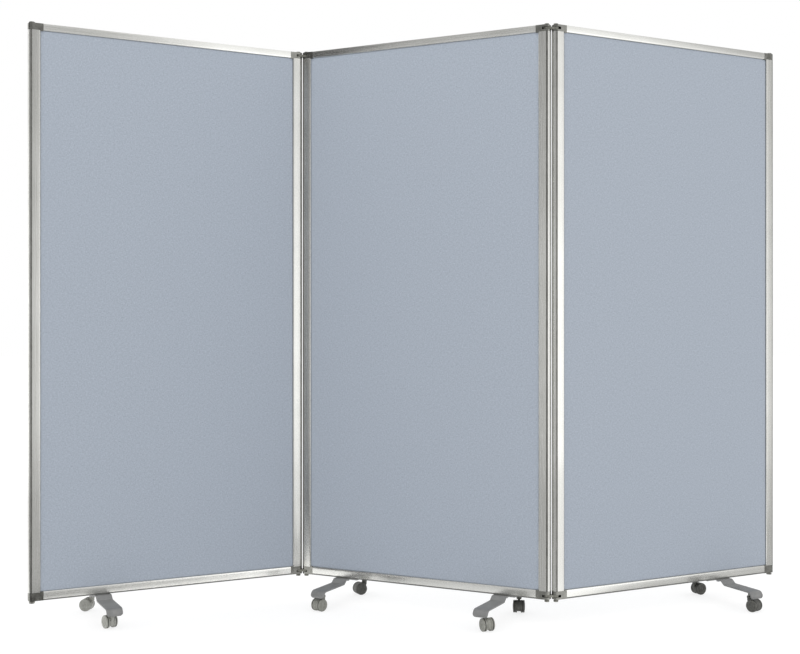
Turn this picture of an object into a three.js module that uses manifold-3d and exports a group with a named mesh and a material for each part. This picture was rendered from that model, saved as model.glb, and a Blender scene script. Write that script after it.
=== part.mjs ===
// Folding privacy screen on castors: three framed fabric panels in a zigzag, joined by double-pivot
// hinges at top and bottom, standing on four strap feet with two twin-wheel castors each.
// Millimetres, +Z up. The origin is on the floor under the centre of the middle panel, +X runs along
// the screen from left to right, and the front of the screen faces -Y.

import * as THREE from 'three';
import { mergeVertices } from 'three/addons/utils/BufferGeometryUtils.js';
import Module from 'manifold-3d';

const wasm = await Module();
wasm.setup();

// Whole screen
const FOLD_DEG = 55; // turn between neighbouring panels
const PIN_SPACING = 850; // from hinge pin to hinge pin across one panel
const FRAME_BOTTOM = 79; // floor to underside of the frame
const FRAME_HEIGHT = 1719;
const THICKNESS = 25; // of the frame
const SEAT_GAP = 0.3; // between pieces that rest on each other
const OVERRUN = 2; // of a cutting shape past the face that it opens

// Stile extrusion, measured from the pin axis
const NOSE_RADIUS = 12.3;
const FACE_OVERHANG = 2; // flat face past the pin axis, towards the nose
const GROOVE_WIDTH = 5;
const GROOVE_DEPTH = 6.5;
const STILE_FACE = 19.5; // flat face, from groove to lip
const LIP_WIDTH = 5.5; // rounded lip beside the fabric
const LIP_DROP = 2.5;
const WALL = 1.6;
const SLOT_DEPTH = 10.5; // channel that holds the board
const SLOT_WIDTH = 8.2;

// Rail extrusions, depths from the frame's outer edge inwards
const TOP_RAIL_DEPTH = 21;
const BOTTOM_RAIL_DEPTH = 26.5;
const RAIL_EDGE_RADIUS = 1.5;

// Board with fabric on both faces
const BOARD_THICKNESS = 7.4;
const BOARD_CLEARANCE = 0.5;
const BOARD_EDGE_RADIUS = 1.2;

// Corner caps, depths from the frame's outer edge inwards
const TOP_CAP_DEPTH = 20;
const BOTTOM_CAP_DEPTH = 24.5;
const CAP_REACH = 31; // from the pin axis along the rail
const CAP_CORNER_RADIUS = 4;
const TAB_DEPTH = 2.7; // inner corner tab, past the cap
const SPIGOT_LENGTH = 30;
const SPIGOT_FIT = 0.5;

// Hinge pins and links
const LINK_PITCH = 27; // from pin to pin across the joint
const LINK_LEVEL = 10.5; // from the frame's outer edge to the link's middle
const LINK_RADIUS = 9.5;
const LINK_THICKNESS = 7;
const LINK_CLEARANCE = 0.4; // above and below the link in its slot
const LINK_SWING_GAP = 0.9; // behind the link in its slot
const PIN_RADIUS = 4;
const PIN_CLEARANCE = 0.4;
const PIN_SHORTFALL = 0.6; // of the pin's end inside the cap
const HEAD_RADIUS = 7.2;
const HEAD_HEIGHT = 3.6;
const HEAD_CHAMFER = 0.8;
const FOOT_HEAD_HEIGHT = 5; // heads under the bottom caps
const STUB_LENGTH = 3; // bare shank above those heads
const STUB_RADIUS = 4.8;
const PLUG_RADIUS = 8.8; // heads of the plugs at the free ends

// Strap feet
const END_FOOT_INSET = 206; // from the free end's pin axis, on the outer panels
const MIDDLE_FOOT_INSET = 145; // from each pin axis, on the middle panel
const STRAP_WIDTH = 48;
const STRAP_THICKNESS = 4.5;
const STRAP_REACH = 165; // from the panel's centre plane to the nose
const STRAP_SEAT = 26; // half length of the flat under the rail
const STRAP_STEP_RUN = 14; // length of the joggle beside the seat
const STRAP_STEP_DROP = 11.5;
const STRAP_TAPER = 1.6; // fall of the strap from joggle to nose
const NOSE_BEND_RADIUS = 17; // top face of the strap at its nose
const STRAP_NOSE_Z = 43.5; // lower edge of the nose above the floor
const NOSE_CORNER_RADIUS = 9;
const BEND_RADIUS = 7; // at the joggle

// Castors
const STEM_INSET = 34; // from the nose to the swivel axis
const STEM_RADIUS = 5;
const PINTLE_RADIUS = 2.2;
const PINTLE_BOTTOM_Z = 29;
const WHEEL_RADIUS = 19.5;
const WHEEL_OUTER = 19; // half width over both wheels
const WHEEL_INNER = 5.9; // half gap between the wheels
const WHEEL_RIM_ROUND = 2.2; // outer shoulder of the tyre
const WHEEL_FACE_CROWN = 1; // fall of the outer face from hub to shoulder
const HUB_RADIUS = 8;
const HUB_RECESS = 1.2;
const TREAD_CHAMFER = 1.2;
const AXLE_RADIUS = 3;
const AXLE_CLEARANCE = 0.4;
const TRAIL = 16.5; // from swivel axis to axle
const WEB_HALF_WIDTH = 3.6;
const WEB_RADIUS = 18; // round the axle
const WEB_BOTTOM_Z = 8; // flat lower edge of the web
const NECK_HALF_LENGTH = 7;
const NECK_FOOT_Z = 33; // where the neck's back meets the slope down to the web
const BOSS_RADIUS = 8.5;
const BOSS_BOTTOM_Z = 40;
const BOSS_TOP_Z = 46.5;
const BOSS_CHAMFER = 1;

// Facet counts
const NOSE_STEPS = 10;
const CORNER_STEPS = 3;
const EDGE_STEPS = 2;
const LIP_STEPS = 3;
const PIN_STEPS = 12;
const LINK_STEPS = 8;
const BEND_STEPS = 2;
const NOSE_BEND_STEPS = 5;
const WHEEL_STEPS = 14;
const SHOULDER_STEPS = 2;
const WEB_STEPS = 10;

// Direction in which each castor trails, in degrees from +X
const TRAIL_DEG = {
  left_foot: { front: 130, rear: 172 },
  middle_left_foot: { front: -130, rear: -154 },
  middle_right_foot: { front: -68, rear: -96 },
  right_foot: { front: -48, rear: 25 },
};

// Sizes that follow
const HALF_FOLD = THREE.MathUtils.degToRad(FOLD_DEG / 2);
const HALF_THICKNESS = THICKNESS / 2;
const HALF_SPACING = PIN_SPACING / 2;
const FRAME_TOP = FRAME_BOTTOM + FRAME_HEIGHT;
const LIP_START = STILE_FACE - FACE_OVERHANG;
const STILE_INNER = LIP_START + LIP_WIDTH;
const STILE_SLOT_FLOOR = STILE_INNER - SLOT_DEPTH;
const SLOT_HALF = SLOT_WIDTH / 2;
const LIP_HALF = HALF_THICKNESS - LIP_DROP;
const GROOVE_HALF = HALF_THICKNESS - GROOVE_DEPTH;
const HOLLOW_HALF = HALF_THICKNESS - WALL;
const STILE_HOLLOW_END = STILE_SLOT_FLOOR - WALL;
const HOLLOW_STEP = WALL - FACE_OVERHANG; // where the hollow widens behind the flat face
const STRAP_TOP_Z = FRAME_BOTTOM - SEAT_GAP;
const SWIVEL_OFFSET = STRAP_REACH - STEM_INSET;
const PANEL_PITCH = PIN_SPACING * Math.cos(HALF_FOLD) + LINK_PITCH;

// What differs between the upper and the lower edge of a frame
const TOP_EDGE = { rail: TOP_RAIL_DEPTH, cap: TOP_CAP_DEPTH, stub: 0, head: HEAD_HEIGHT };
const BOTTOM_EDGE = {
  rail: BOTTOM_RAIL_DEPTH,
  cap: BOTTOM_CAP_DEPTH,
  stub: STUB_LENGTH,
  head: FOOT_HEAD_HEIGHT,
};

// Finishes
const aluminium = new THREE.MeshStandardMaterial({ color: 0xc9c9c5, roughness: 0.42, metalness: 0.85 });
const fabric = new THREE.MeshStandardMaterial({ color: 0xa5adb8, roughness: 0.95, metalness: 0 });
const capPlastic = new THREE.MeshStandardMaterial({ color: 0x6b6b66, roughness: 0.55, metalness: 0 });
const hingeSteel = new THREE.MeshStandardMaterial({ color: 0x77776f, roughness: 0.45, metalness: 0.6 });
const footPaint = new THREE.MeshStandardMaterial({ color: 0x8b8b88, roughness: 0.5, metalness: 0.2 });
const castorPlastic = new THREE.MeshStandardMaterial({ color: 0x8e8e86, roughness: 0.6, metalness: 0 });

// Turns a geometry with shared corners into a solid that can be cut and joined.
function solidOf(geometry) {
  const bare = geometry.clone();
  bare.deleteAttribute('normal');
  bare.deleteAttribute('uv');
  const merged = mergeVertices(bare);
  const mesh = new wasm.Mesh({
    numProp: 3,
    vertProperties: new Float32Array(merged.attributes.position.array),
    triVerts: new Uint32Array(merged.index.array),
  });
  return new wasm.Manifold(mesh);
}

// Turns a solid back into a geometry.
function geometryOf(solid) {
  const mesh = solid.getMesh();
  const geometry = new THREE.BufferGeometry();
  geometry.setAttribute('position', new THREE.BufferAttribute(new Float32Array(mesh.vertProperties), 3));
  geometry.setIndex(new THREE.BufferAttribute(new Uint32Array(mesh.triVerts), 1));
  geometry.computeVertexNormals();
  return geometry;
}

// Points of an arc, both ends included, angles in radians.
function arc(centreX, centreY, radius, from, to, steps) {
  const points = [];
  for (let i = 0; i <= steps; i += 1) {
    const angle = from + ((to - from) * i) / steps;
    points.push([centreX + radius * Math.cos(angle), centreY + radius * Math.sin(angle)]);
  }
  return points;
}

// A half outline above the X axis, followed by its mirror image below it.
function mirrored(half) {
  const below = half.map(([x, y]) => [x, -y]).reverse();
  return half.concat(below);
}

// Straight extrusion along +Z of an outline with holes.
function prism(outline, depth, holes = []) {
  const shape = new THREE.Shape(outline.map(([x, y]) => new THREE.Vector2(x, y)));
  for (const hole of holes) {
    shape.holes.push(new THREE.Path(hole.map(([x, y]) => new THREE.Vector2(x, y))));
  }
  return new THREE.ExtrudeGeometry(shape, { depth, bevelEnabled: false, steps: 1 });
}

// Lays an extrusion down, so that its outline stands in the YZ plane and it runs along +X.
function laidAlongX(geometry) {
  const axes = new THREE.Matrix4().makeBasis(
    new THREE.Vector3(0, 1, 0),
    new THREE.Vector3(0, 0, 1),
    new THREE.Vector3(1, 0, 0),
  );
  return geometry.applyMatrix4(axes);
}

// Stands an extrusion on edge, so that its outline is in the XZ plane, centred across Y.
function stoodInXZ(geometry, depth) {
  return geometry.rotateX(Math.PI / 2).translate(0, depth / 2, 0);
}

// A block between two corners.
function block(low, high) {
  const size = high.map((value, i) => value - low[i]);
  const geometry = new THREE.BoxGeometry(size[0], size[1], size[2]);
  return geometry.translate(low[0] + size[0] / 2, low[1] + size[1] / 2, low[2] + size[2] / 2);
}

// A solid of revolution about Z from a profile of [radius, z] points that goes upwards.
function turned(profile, steps) {
  const points = profile.map(([radius, z]) => new THREE.Vector2(radius, z));
  return new THREE.LatheGeometry(points, steps).rotateX(Math.PI / 2);
}

// Rounded lip beside the fabric: points of [run towards the fabric, distance from the centre plane].
function lipPoints() {
  return arc(0, 0, 1, Math.PI / 2, 0, LIP_STEPS).map(([run, rise]) => [
    LIP_WIDTH * run,
    LIP_HALF + LIP_DROP * rise,
  ]);
}

// Stile: a round nose about the pin axis, a groove, a flat face with a rounded lip, the channel for
// the board and a hollow core. The outline runs from the nose to the channel.
function stileGeometry() {
  const noseEnd = -FACE_OVERHANG - GROOVE_WIDTH;
  const noseAngle = Math.acos(noseEnd / NOSE_RADIUS);
  const lip = lipPoints().map(([run, half]) => [LIP_START + run, half]);
  const half = [
    ...arc(0, 0, NOSE_RADIUS, Math.PI, noseAngle, NOSE_STEPS / 2),
    [noseEnd, GROOVE_HALF],
    [-FACE_OVERHANG, GROOVE_HALF],
    [-FACE_OVERHANG, HALF_THICKNESS],
    ...lip,
    [STILE_INNER, SLOT_HALF],
    [STILE_SLOT_FLOOR, SLOT_HALF],
  ];
  const outline = mirrored(half).slice(0, -1);
  const noseHollow = GROOVE_HALF - WALL;
  const hollow = mirrored([
    [noseEnd, noseHollow / 2],
    [noseEnd + WALL, noseHollow],
    [HOLLOW_STEP, noseHollow],
    [HOLLOW_STEP, HOLLOW_HALF],
    [STILE_HOLLOW_END, HOLLOW_HALF],
  ]);
  const length = FRAME_HEIGHT - TOP_CAP_DEPTH - BOTTOM_CAP_DEPTH - 2 * SEAT_GAP;
  return prism(outline.reverse(), length, [hollow]);
}

// Rail: a flat outer edge with small rounds, flat faces with lips beside the fabric, the channel for
// the board and a hollow core. The profile's Y points from the frame's outer edge inwards, downwards.
function railGeometry(edge) {
  const slotFloor = edge.rail - SLOT_DEPTH;
  const lip = lipPoints().map(([run, half]) => [half, LIP_WIDTH - edge.rail - run]);
  const right = [
    ...arc(
      HALF_THICKNESS - RAIL_EDGE_RADIUS,
      -RAIL_EDGE_RADIUS,
      RAIL_EDGE_RADIUS,
      Math.PI / 2,
      0,
      EDGE_STEPS,
    ),
    ...lip,
    [SLOT_HALF, -edge.rail],
    [SLOT_HALF, -slotFloor],
  ];
  const left = right.map(([x, y]) => [-x, y]).reverse();
  const hollow = [
    [-HOLLOW_HALF, -WALL],
    [HOLLOW_HALF, -WALL],
    [HOLLOW_HALF, WALL - slotFloor],
    [-HOLLOW_HALF, WALL - slotFloor],
  ];
  const length = PIN_SPACING - 2 * (CAP_REACH + SEAT_GAP);
  const rail = prism(right.concat(left).reverse(), length, [hollow]);
  return laidAlongX(rail).translate(-length / 2, 0, 0);
}

// Board: one rigid sheet with fabric on both faces and softly rounded long edges.
function boardGeometry() {
  const width = PIN_SPACING - 2 * (STILE_SLOT_FLOOR + BOARD_CLEARANCE);
  const slotFloors = TOP_RAIL_DEPTH + BOTTOM_RAIL_DEPTH - 2 * SLOT_DEPTH;
  const height = FRAME_HEIGHT - slotFloors - 2 * BOARD_CLEARANCE;
  const x = width / 2;
  const y = BOARD_THICKNESS / 2;
  const inset = BOARD_EDGE_RADIUS;
  const outline = [
    [-x, -y + inset],
    [-x + inset, -y],
    [x - inset, -y],
    [x, -y + inset],
    [x, y - inset],
    [x - inset, y],
    [-x + inset, y],
    [-x, y - inset],
  ];
  return prism(outline, height);
}

// Profile of a hinge pin or end plug about its axis. The head stands outside the cap from z = 0
// upwards and the shank hangs down into the cap.
function pinProfile({ stub, head }, headRadius, shankBottom) {
  const headBottom = stub > 0 ? stub : SEAT_GAP;
  const headTop = headBottom + head;
  const stubbed = [[PIN_RADIUS, SEAT_GAP], [STUB_RADIUS, SEAT_GAP], [STUB_RADIUS, headBottom]];
  const neck = stub > 0 ? stubbed : [[PIN_RADIUS, headBottom]];
  return [
    [0, shankBottom],
    [PIN_RADIUS, shankBottom],
    ...neck,
    [headRadius, headBottom],
    [headRadius, headTop - HEAD_CHAMFER],
    [headRadius - HEAD_CHAMFER, headTop],
    [0, headTop],
  ];
}

// Hinge pin, head up.
function pinGeometry(edge) {
  return turned(pinProfile(edge, HEAD_RADIUS, PIN_SHORTFALL - edge.cap), PIN_STEPS);
}

// Corner cap for the top left corner: x runs from the pin axis along the rail, z = 0 is the frame's
// outer edge. The plan outline and the side outline are extruded and the cap is what both hold.
// It has a spigot into the stile and one into the rail, and a slot for the board's corner.
// A hinge cap also has the pin's hole and the link's slot, open round the nose; an end cap has a plug.
function capGeometry(hinged, edge) {
  const depth = edge.cap + TAB_DEPTH;
  const slotFloor = edge.rail - SLOT_DEPTH;
  const faceAngle = Math.acos(-FACE_OVERHANG / NOSE_RADIUS);
  const plan = [
    [CAP_REACH, -HALF_THICKNESS],
    [CAP_REACH, HALF_THICKNESS],
    [-FACE_OVERHANG, HALF_THICKNESS],
    ...arc(0, 0, NOSE_RADIUS, faceAngle, 2 * Math.PI - faceAngle, NOSE_STEPS),
    [-FACE_OVERHANG, -HALF_THICKNESS],
  ];
  const tabStart = STILE_INNER + SEAT_GAP;
  const side = [
    [-NOSE_RADIUS, -edge.cap],
    [tabStart, -edge.cap],
    [tabStart, -depth],
    [CAP_REACH, -depth],
    [CAP_REACH, 0],
    ...arc(
      CAP_CORNER_RADIUS - NOSE_RADIUS,
      -CAP_CORNER_RADIUS,
      CAP_CORNER_RADIUS,
      Math.PI / 2,
      Math.PI,
      CORNER_STEPS,
    ),
  ];
  const sideWidth = THICKNESS + 2 * OVERRUN;
  const planSolid = solidOf(prism(plan, depth).translate(0, 0, -depth));
  let cap = planSolid.intersect(solidOf(stoodInXZ(prism(side, sideWidth), sideWidth)));

  const spigotHalf = HOLLOW_HALF - SPIGOT_FIT;
  const stileSpigot = block(
    [HOLLOW_STEP + SPIGOT_FIT, -spigotHalf, -edge.cap - SPIGOT_LENGTH],
    [STILE_HOLLOW_END - SPIGOT_FIT, spigotHalf, WALL - edge.cap],
  );
  const railSpigot = block(
    [CAP_REACH - WALL, -spigotHalf, SPIGOT_FIT + WALL - slotFloor],
    [CAP_REACH + SPIGOT_LENGTH, spigotHalf, -WALL - SPIGOT_FIT],
  );
  cap = cap.add(solidOf(stileSpigot)).add(solidOf(railSpigot));

  const boardSlot = block(
    [STILE_SLOT_FLOOR, -SLOT_HALF, -depth - OVERRUN],
    [CAP_REACH + OVERRUN, SLOT_HALF, -slotFloor],
  );
  cap = cap.subtract(solidOf(boardSlot));

  if (hinged) {
    const hole = turned([
      [0, -edge.cap - OVERRUN],
      [PIN_RADIUS + PIN_CLEARANCE, -edge.cap - OVERRUN],
      [PIN_RADIUS + PIN_CLEARANCE, OVERRUN],
      [0, OVERRUN],
    ], PIN_STEPS);
    const slotHalf = LINK_THICKNESS / 2 + LINK_CLEARANCE;
    const slot = block(
      [-NOSE_RADIUS - OVERRUN, -HALF_THICKNESS - OVERRUN, -LINK_LEVEL - slotHalf],
      [LINK_RADIUS + LINK_SWING_GAP, HALF_THICKNESS + OVERRUN, slotHalf - LINK_LEVEL],
    );
    cap = cap.subtract(solidOf(hole)).subtract(solidOf(slot));
  } else {
    cap = cap.add(solidOf(turned(pinProfile(edge, PLUG_RADIUS, -LINK_LEVEL), PIN_STEPS)));
  }
  return geometryOf(cap);
}

// Hinge link: a plate with two round ends and a hole for each pin, centred between the pins.
function linkGeometry() {
  const x = LINK_PITCH / 2;
  const quarter = Math.PI / 2;
  const outline = [
    ...arc(x, 0, LINK_RADIUS, -quarter, quarter, LINK_STEPS),
    ...arc(-x, 0, LINK_RADIUS, quarter, 3 * quarter, LINK_STEPS),
  ];
  const turn = 2 * Math.PI;
  const holes = [x, -x].map((centre) => (
    arc(centre, 0, PIN_RADIUS + PIN_CLEARANCE, turn, 0, PIN_STEPS).slice(0, -1)
  ));
  return prism(outline, LINK_THICKNESS, holes).translate(0, 0, -LINK_THICKNESS / 2);
}

// Closed outline of a bent strap: its upper line and the same line moved inwards by the thickness.
function stripOutline(upper, thickness) {
  const lower = upper.map((point, i) => {
    const before = upper[Math.max(i - 1, 0)];
    const after = upper[Math.min(i + 1, upper.length - 1)];
    const run = [after[0] - before[0], after[1] - before[1]];
    const length = Math.hypot(run[0], run[1]);
    return [point[0] + (run[1] / length) * thickness, point[1] - (run[0] / length) * thickness];
  });
  return upper.concat(lower.reverse());
}

// Right half of the strap's upper line, from under the rail over the joggle to the nose's lower edge.
function strapLine() {
  const slope = Math.atan2(STRAP_STEP_DROP, STRAP_STEP_RUN);
  const set = BEND_RADIUS * Math.tan(slope / 2);
  const lowZ = STRAP_TOP_Z - STRAP_STEP_DROP;
  const noseStart = STRAP_REACH - NOSE_BEND_RADIUS;
  const noseTopZ = lowZ - STRAP_TAPER;
  const quarter = Math.PI / 2;
  return [
    ...arc(
      STRAP_SEAT - set,
      STRAP_TOP_Z - BEND_RADIUS,
      BEND_RADIUS,
      quarter,
      quarter - slope,
      BEND_STEPS,
    ),
    ...arc(
      STRAP_SEAT + STRAP_STEP_RUN + set,
      lowZ + BEND_RADIUS,
      BEND_RADIUS,
      -quarter - slope,
      -quarter,
      BEND_STEPS,
    ),
    ...arc(noseStart, noseTopZ - NOSE_BEND_RADIUS, NOSE_BEND_RADIUS, quarter, 0, NOSE_BEND_STEPS),
    [STRAP_REACH, STRAP_NOSE_Z],
  ];
}

// Stem of a castor under the strap: a thick shank down to the castor's boss and a thin pintle in it.
function stemSolid(y) {
  const top = STRAP_TOP_Z - STRAP_STEP_DROP - STRAP_THICKNESS / 2 - STRAP_TAPER;
  const shoulder = BOSS_TOP_Z + SEAT_GAP;
  return solidOf(turned([
    [0, PINTLE_BOTTOM_Z],
    [PINTLE_RADIUS, PINTLE_BOTTOM_Z],
    [PINTLE_RADIUS, shoulder],
    [STEM_RADIUS, shoulder],
    [STEM_RADIUS, top],
    [0, top],
  ], PIN_STEPS).translate(0, y, 0));
}

// Foot: a bent steel strap across the panel's underside, its noses rounded over at both ends, with a
// castor stem near each nose.
function footGeometry() {
  const right = strapLine();
  const left = right.map(([y, z]) => [-y, z]).reverse();
  const outline = stripOutline(left.concat(right), STRAP_THICKNESS).reverse();
  const strap = laidAlongX(prism(outline, STRAP_WIDTH)).translate(-STRAP_WIDTH / 2, 0, 0);
  const x = STRAP_WIDTH / 2;
  const z = STRAP_TOP_Z + OVERRUN;
  const front = [
    ...arc(
      NOSE_CORNER_RADIUS - x,
      STRAP_NOSE_Z + NOSE_CORNER_RADIUS,
      NOSE_CORNER_RADIUS,
      Math.PI,
      1.5 * Math.PI,
      CORNER_STEPS,
    ),
    ...arc(
      x - NOSE_CORNER_RADIUS,
      STRAP_NOSE_Z + NOSE_CORNER_RADIUS,
      NOSE_CORNER_RADIUS,
      1.5 * Math.PI,
      2 * Math.PI,
      CORNER_STEPS,
    ),
    [x, z],
    [-x, z],
  ];
  const reach = 2 * (STRAP_REACH + OVERRUN);
  const trimmed = solidOf(strap).intersect(solidOf(stoodInXZ(prism(front, reach), reach)));
  return geometryOf(trimmed.add(stemSolid(SWIVEL_OFFSET)).add(stemSolid(-SWIVEL_OFFSET)));
}

// Castor body: a round web between the wheels with a flat lower edge, a neck under the boss, and the
// boss itself, bored for the stem and the axle. x runs from the swivel axis towards the axle.
function castorGeometry() {
  const cut = Math.asin((WHEEL_RADIUS - WEB_BOTTOM_Z) / WEB_RADIUS);
  const outline = [
    ...arc(TRAIL, WHEEL_RADIUS, WEB_RADIUS, -Math.PI, cut - Math.PI, CORNER_STEPS),
    ...arc(TRAIL, WHEEL_RADIUS, WEB_RADIUS, -cut, Math.PI / 2, WEB_STEPS),
    [NECK_HALF_LENGTH, BOSS_BOTTOM_Z],
    [NECK_HALF_LENGTH, BOSS_TOP_Z - BOSS_CHAMFER],
    [-NECK_HALF_LENGTH, BOSS_TOP_Z - BOSS_CHAMFER],
    [-NECK_HALF_LENGTH, NECK_FOOT_Z],
  ];
  const width = 2 * WEB_HALF_WIDTH;
  const web = solidOf(stoodInXZ(prism(outline, width), width));
  const boss = turned([
    [0, BOSS_BOTTOM_Z],
    [BOSS_RADIUS - BOSS_CHAMFER, BOSS_BOTTOM_Z],
    [BOSS_RADIUS, BOSS_BOTTOM_Z + BOSS_CHAMFER],
    [BOSS_RADIUS, BOSS_TOP_Z - BOSS_CHAMFER],
    [BOSS_RADIUS - BOSS_CHAMFER, BOSS_TOP_Z],
    [0, BOSS_TOP_Z],
  ], PIN_STEPS);
  const stemBore = turned([
    [0, PINTLE_BOTTOM_Z - PIN_CLEARANCE],
    [PINTLE_RADIUS + PIN_CLEARANCE, PINTLE_BOTTOM_Z - PIN_CLEARANCE],
    [PINTLE_RADIUS + PIN_CLEARANCE, BOSS_TOP_Z + OVERRUN],
    [0, BOSS_TOP_Z + OVERRUN],
  ], PIN_STEPS);
  const boreHalf = WEB_HALF_WIDTH + OVERRUN;
  const axleBore = turned([
    [0, -boreHalf],
    [AXLE_RADIUS + AXLE_CLEARANCE, -boreHalf],
    [AXLE_RADIUS + AXLE_CLEARANCE, boreHalf],
    [0, boreHalf],
  ], PIN_STEPS).rotateX(Math.PI / 2).translate(TRAIL, 0, WHEEL_RADIUS);
  return geometryOf(web.add(solidOf(boss)).subtract(solidOf(stemBore)).subtract(solidOf(axleBore)));
}

// Two wheels on one axle: crowned outer faces with a shallow hub recess, rounded outer shoulders,
// flat treads and chamfered inner edges. The axis is the axle, along Y.
function wheelsGeometry() {
  const shoulder = WHEEL_OUTER - WHEEL_FACE_CROWN - WHEEL_RIM_ROUND;
  const half = [
    [0, WHEEL_OUTER - HUB_RECESS],
    [HUB_RADIUS - HUB_RECESS, WHEEL_OUTER - HUB_RECESS],
    [HUB_RADIUS, WHEEL_OUTER],
    ...arc(WHEEL_RADIUS - WHEEL_RIM_ROUND, shoulder, WHEEL_RIM_ROUND, Math.PI / 2, 0, SHOULDER_STEPS),
    [WHEEL_RADIUS, WHEEL_INNER + TREAD_CHAMFER],
    [WHEEL_RADIUS - TREAD_CHAMFER, WHEEL_INNER],
    [AXLE_RADIUS, WHEEL_INNER],
  ];
  const other = half.map(([radius, y]) => [radius, -y]).reverse();
  const profile = half.concat(other).reverse();
  return turned(profile, WHEEL_STEPS).rotateX(-Math.PI / 2);
}

// A named piece at a place in its group.
function piece(name, geometry, material, place = {}) {
  const { x = 0, y = 0, z = 0, turnX = 0, turnZ = 0 } = place;
  const mesh = new THREE.Mesh(geometry, material);
  mesh.name = name;
  mesh.position.set(x, y, z);
  mesh.rotation.set(turnX, 0, turnZ, 'ZYX');
  return mesh;
}

// Stiles, rails and board of one panel.
function frameMeshes(name) {
  const stile = stileGeometry();
  const topRail = railGeometry(TOP_EDGE);
  const bottomRail = railGeometry(BOTTOM_EDGE);
  const stileZ = FRAME_BOTTOM + BOTTOM_CAP_DEPTH + SEAT_GAP;
  const boardZ = FRAME_BOTTOM + BOTTOM_RAIL_DEPTH - SLOT_DEPTH + BOARD_CLEARANCE;
  return [
    piece(`${name}_stile_left`, stile, aluminium, { x: -HALF_SPACING, z: stileZ }),
    piece(`${name}_stile_right`, stile, aluminium, { x: HALF_SPACING, z: stileZ, turnZ: Math.PI }),
    piece(`${name}_rail_top`, topRail, aluminium, { z: FRAME_TOP }),
    piece(`${name}_rail_bottom`, bottomRail, aluminium, { z: FRAME_BOTTOM, turnX: Math.PI }),
    piece(`${name}_board`, boardGeometry(), fabric, { z: boardZ }),
  ];
}

// The four corner caps of one panel. hinges says which ends carry a hinge.
function capMeshes(name, hinges) {
  const meshes = [];
  for (const side of ['left', 'right']) {
    const top = capGeometry(hinges.includes(side), TOP_EDGE);
    const bottom = capGeometry(hinges.includes(side), BOTTOM_EDGE);
    const x = side === 'left' ? -HALF_SPACING : HALF_SPACING;
    const turnZ = side === 'left' ? 0 : Math.PI;
    meshes.push(piece(`${name}_cap_top_${side}`, top, capPlastic, { x, z: FRAME_TOP, turnZ }));
    const low = { x, z: FRAME_BOTTOM, turnX: Math.PI, turnZ };
    meshes.push(piece(`${name}_cap_bottom_${side}`, bottom, capPlastic, low));
  }
  return meshes;
}

// A castor under a foot: its body and its pair of wheels, turned about the swivel axis.
function castorGroup(name, y, turn) {
  const group = new THREE.Group();
  group.position.set(0, y, 0);
  group.rotation.z = turn;
  group.add(piece(`${name}_castor`, castorGeometry(), castorPlastic));
  group.add(piece(`${name}_wheels`, wheelsGeometry(), castorPlastic, { x: TRAIL, z: WHEEL_RADIUS }));
  return group;
}

// A foot with its two castors, at a place along its panel.
function footGroup(name, x, panelTurn) {
  const group = new THREE.Group();
  group.position.set(x, 0, 0);
  group.add(piece(name, footGeometry(), footPaint));
  for (const [end, y] of [['front', -SWIVEL_OFFSET], ['rear', SWIVEL_OFFSET]]) {
    const turn = THREE.MathUtils.degToRad(TRAIL_DEG[name][end]) - panelTurn;
    group.add(castorGroup(`${name}_${end}`, y, turn));
  }
  return group;
}

// One panel with its caps and feet.
function panelGroup(name, x, turn, hinges, feet) {
  const group = new THREE.Group();
  group.position.set(x, 0, 0);
  group.rotation.z = turn;
  group.add(...frameMeshes(name), ...capMeshes(name, hinges));
  for (const foot of feet) {
    group.add(footGroup(foot.name, foot.x, turn));
  }
  return group;
}

// The links and pins of one hinge, centred between the two pin axes.
function hingeGroup(name, x, y, turns) {
  const group = new THREE.Group();
  group.position.set(x, y, 0);
  const topPin = pinGeometry(TOP_EDGE);
  const bottomPin = pinGeometry(BOTTOM_EDGE);
  const ends = [
    { level: 'top', z: FRAME_TOP, inwards: -1, turnX: 0, pin: topPin },
    { level: 'bottom', z: FRAME_BOTTOM, inwards: 1, turnX: Math.PI, pin: bottomPin },
  ];
  for (const { level, z, inwards, turnX, pin } of ends) {
    const linkZ = z + inwards * LINK_LEVEL;
    group.add(piece(`${name}_link_${level}`, linkGeometry(), hingeSteel, { z: linkZ }));
    for (const side of ['left', 'right']) {
      const pinX = side === 'left' ? -LINK_PITCH / 2 : LINK_PITCH / 2;
      const place = { x: pinX, z, turnX, turnZ: turns[side] };
      group.add(piece(`${name}_pin_${level}_${side}`, pin, hingeSteel, place));
    }
  }
  return group;
}

// The whole screen: left and right panels turned one way, the middle panel the other way.
function screen() {
  const group = new THREE.Group();
  const hingeX = PANEL_PITCH / 2;
  const hingeY = HALF_SPACING * Math.sin(HALF_FOLD);
  group.add(
    panelGroup('left_panel', -PANEL_PITCH, HALF_FOLD, ['right'], [
      { name: 'left_foot', x: END_FOOT_INSET - HALF_SPACING },
    ]),
    panelGroup('middle_panel', 0, -HALF_FOLD, ['left', 'right'], [
      { name: 'middle_left_foot', x: MIDDLE_FOOT_INSET - HALF_SPACING },
      { name: 'middle_right_foot', x: HALF_SPACING - MIDDLE_FOOT_INSET },
    ]),
    panelGroup('right_panel', PANEL_PITCH, HALF_FOLD, ['left'], [
      { name: 'right_foot', x: HALF_SPACING - END_FOOT_INSET },
    ]),
    hingeGroup('left_hinge', -hingeX, hingeY, { left: HALF_FOLD, right: -HALF_FOLD }),
    hingeGroup('right_hinge', hingeX, -hingeY, { left: -HALF_FOLD, right: HALF_FOLD }),
  );
  return group;
}

export default screen();
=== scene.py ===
"""Dressed model of a folding privacy screen: three framed cloth panels on strap feet with castors.

Every length is in metres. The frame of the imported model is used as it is: the origin is on the floor
under the middle panel, +X runs along the screen, the front faces -Y and +Z is up.
"""

import logging
import math
from dataclasses import dataclass
from enum import Enum
from typing import Any, Sequence

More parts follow.
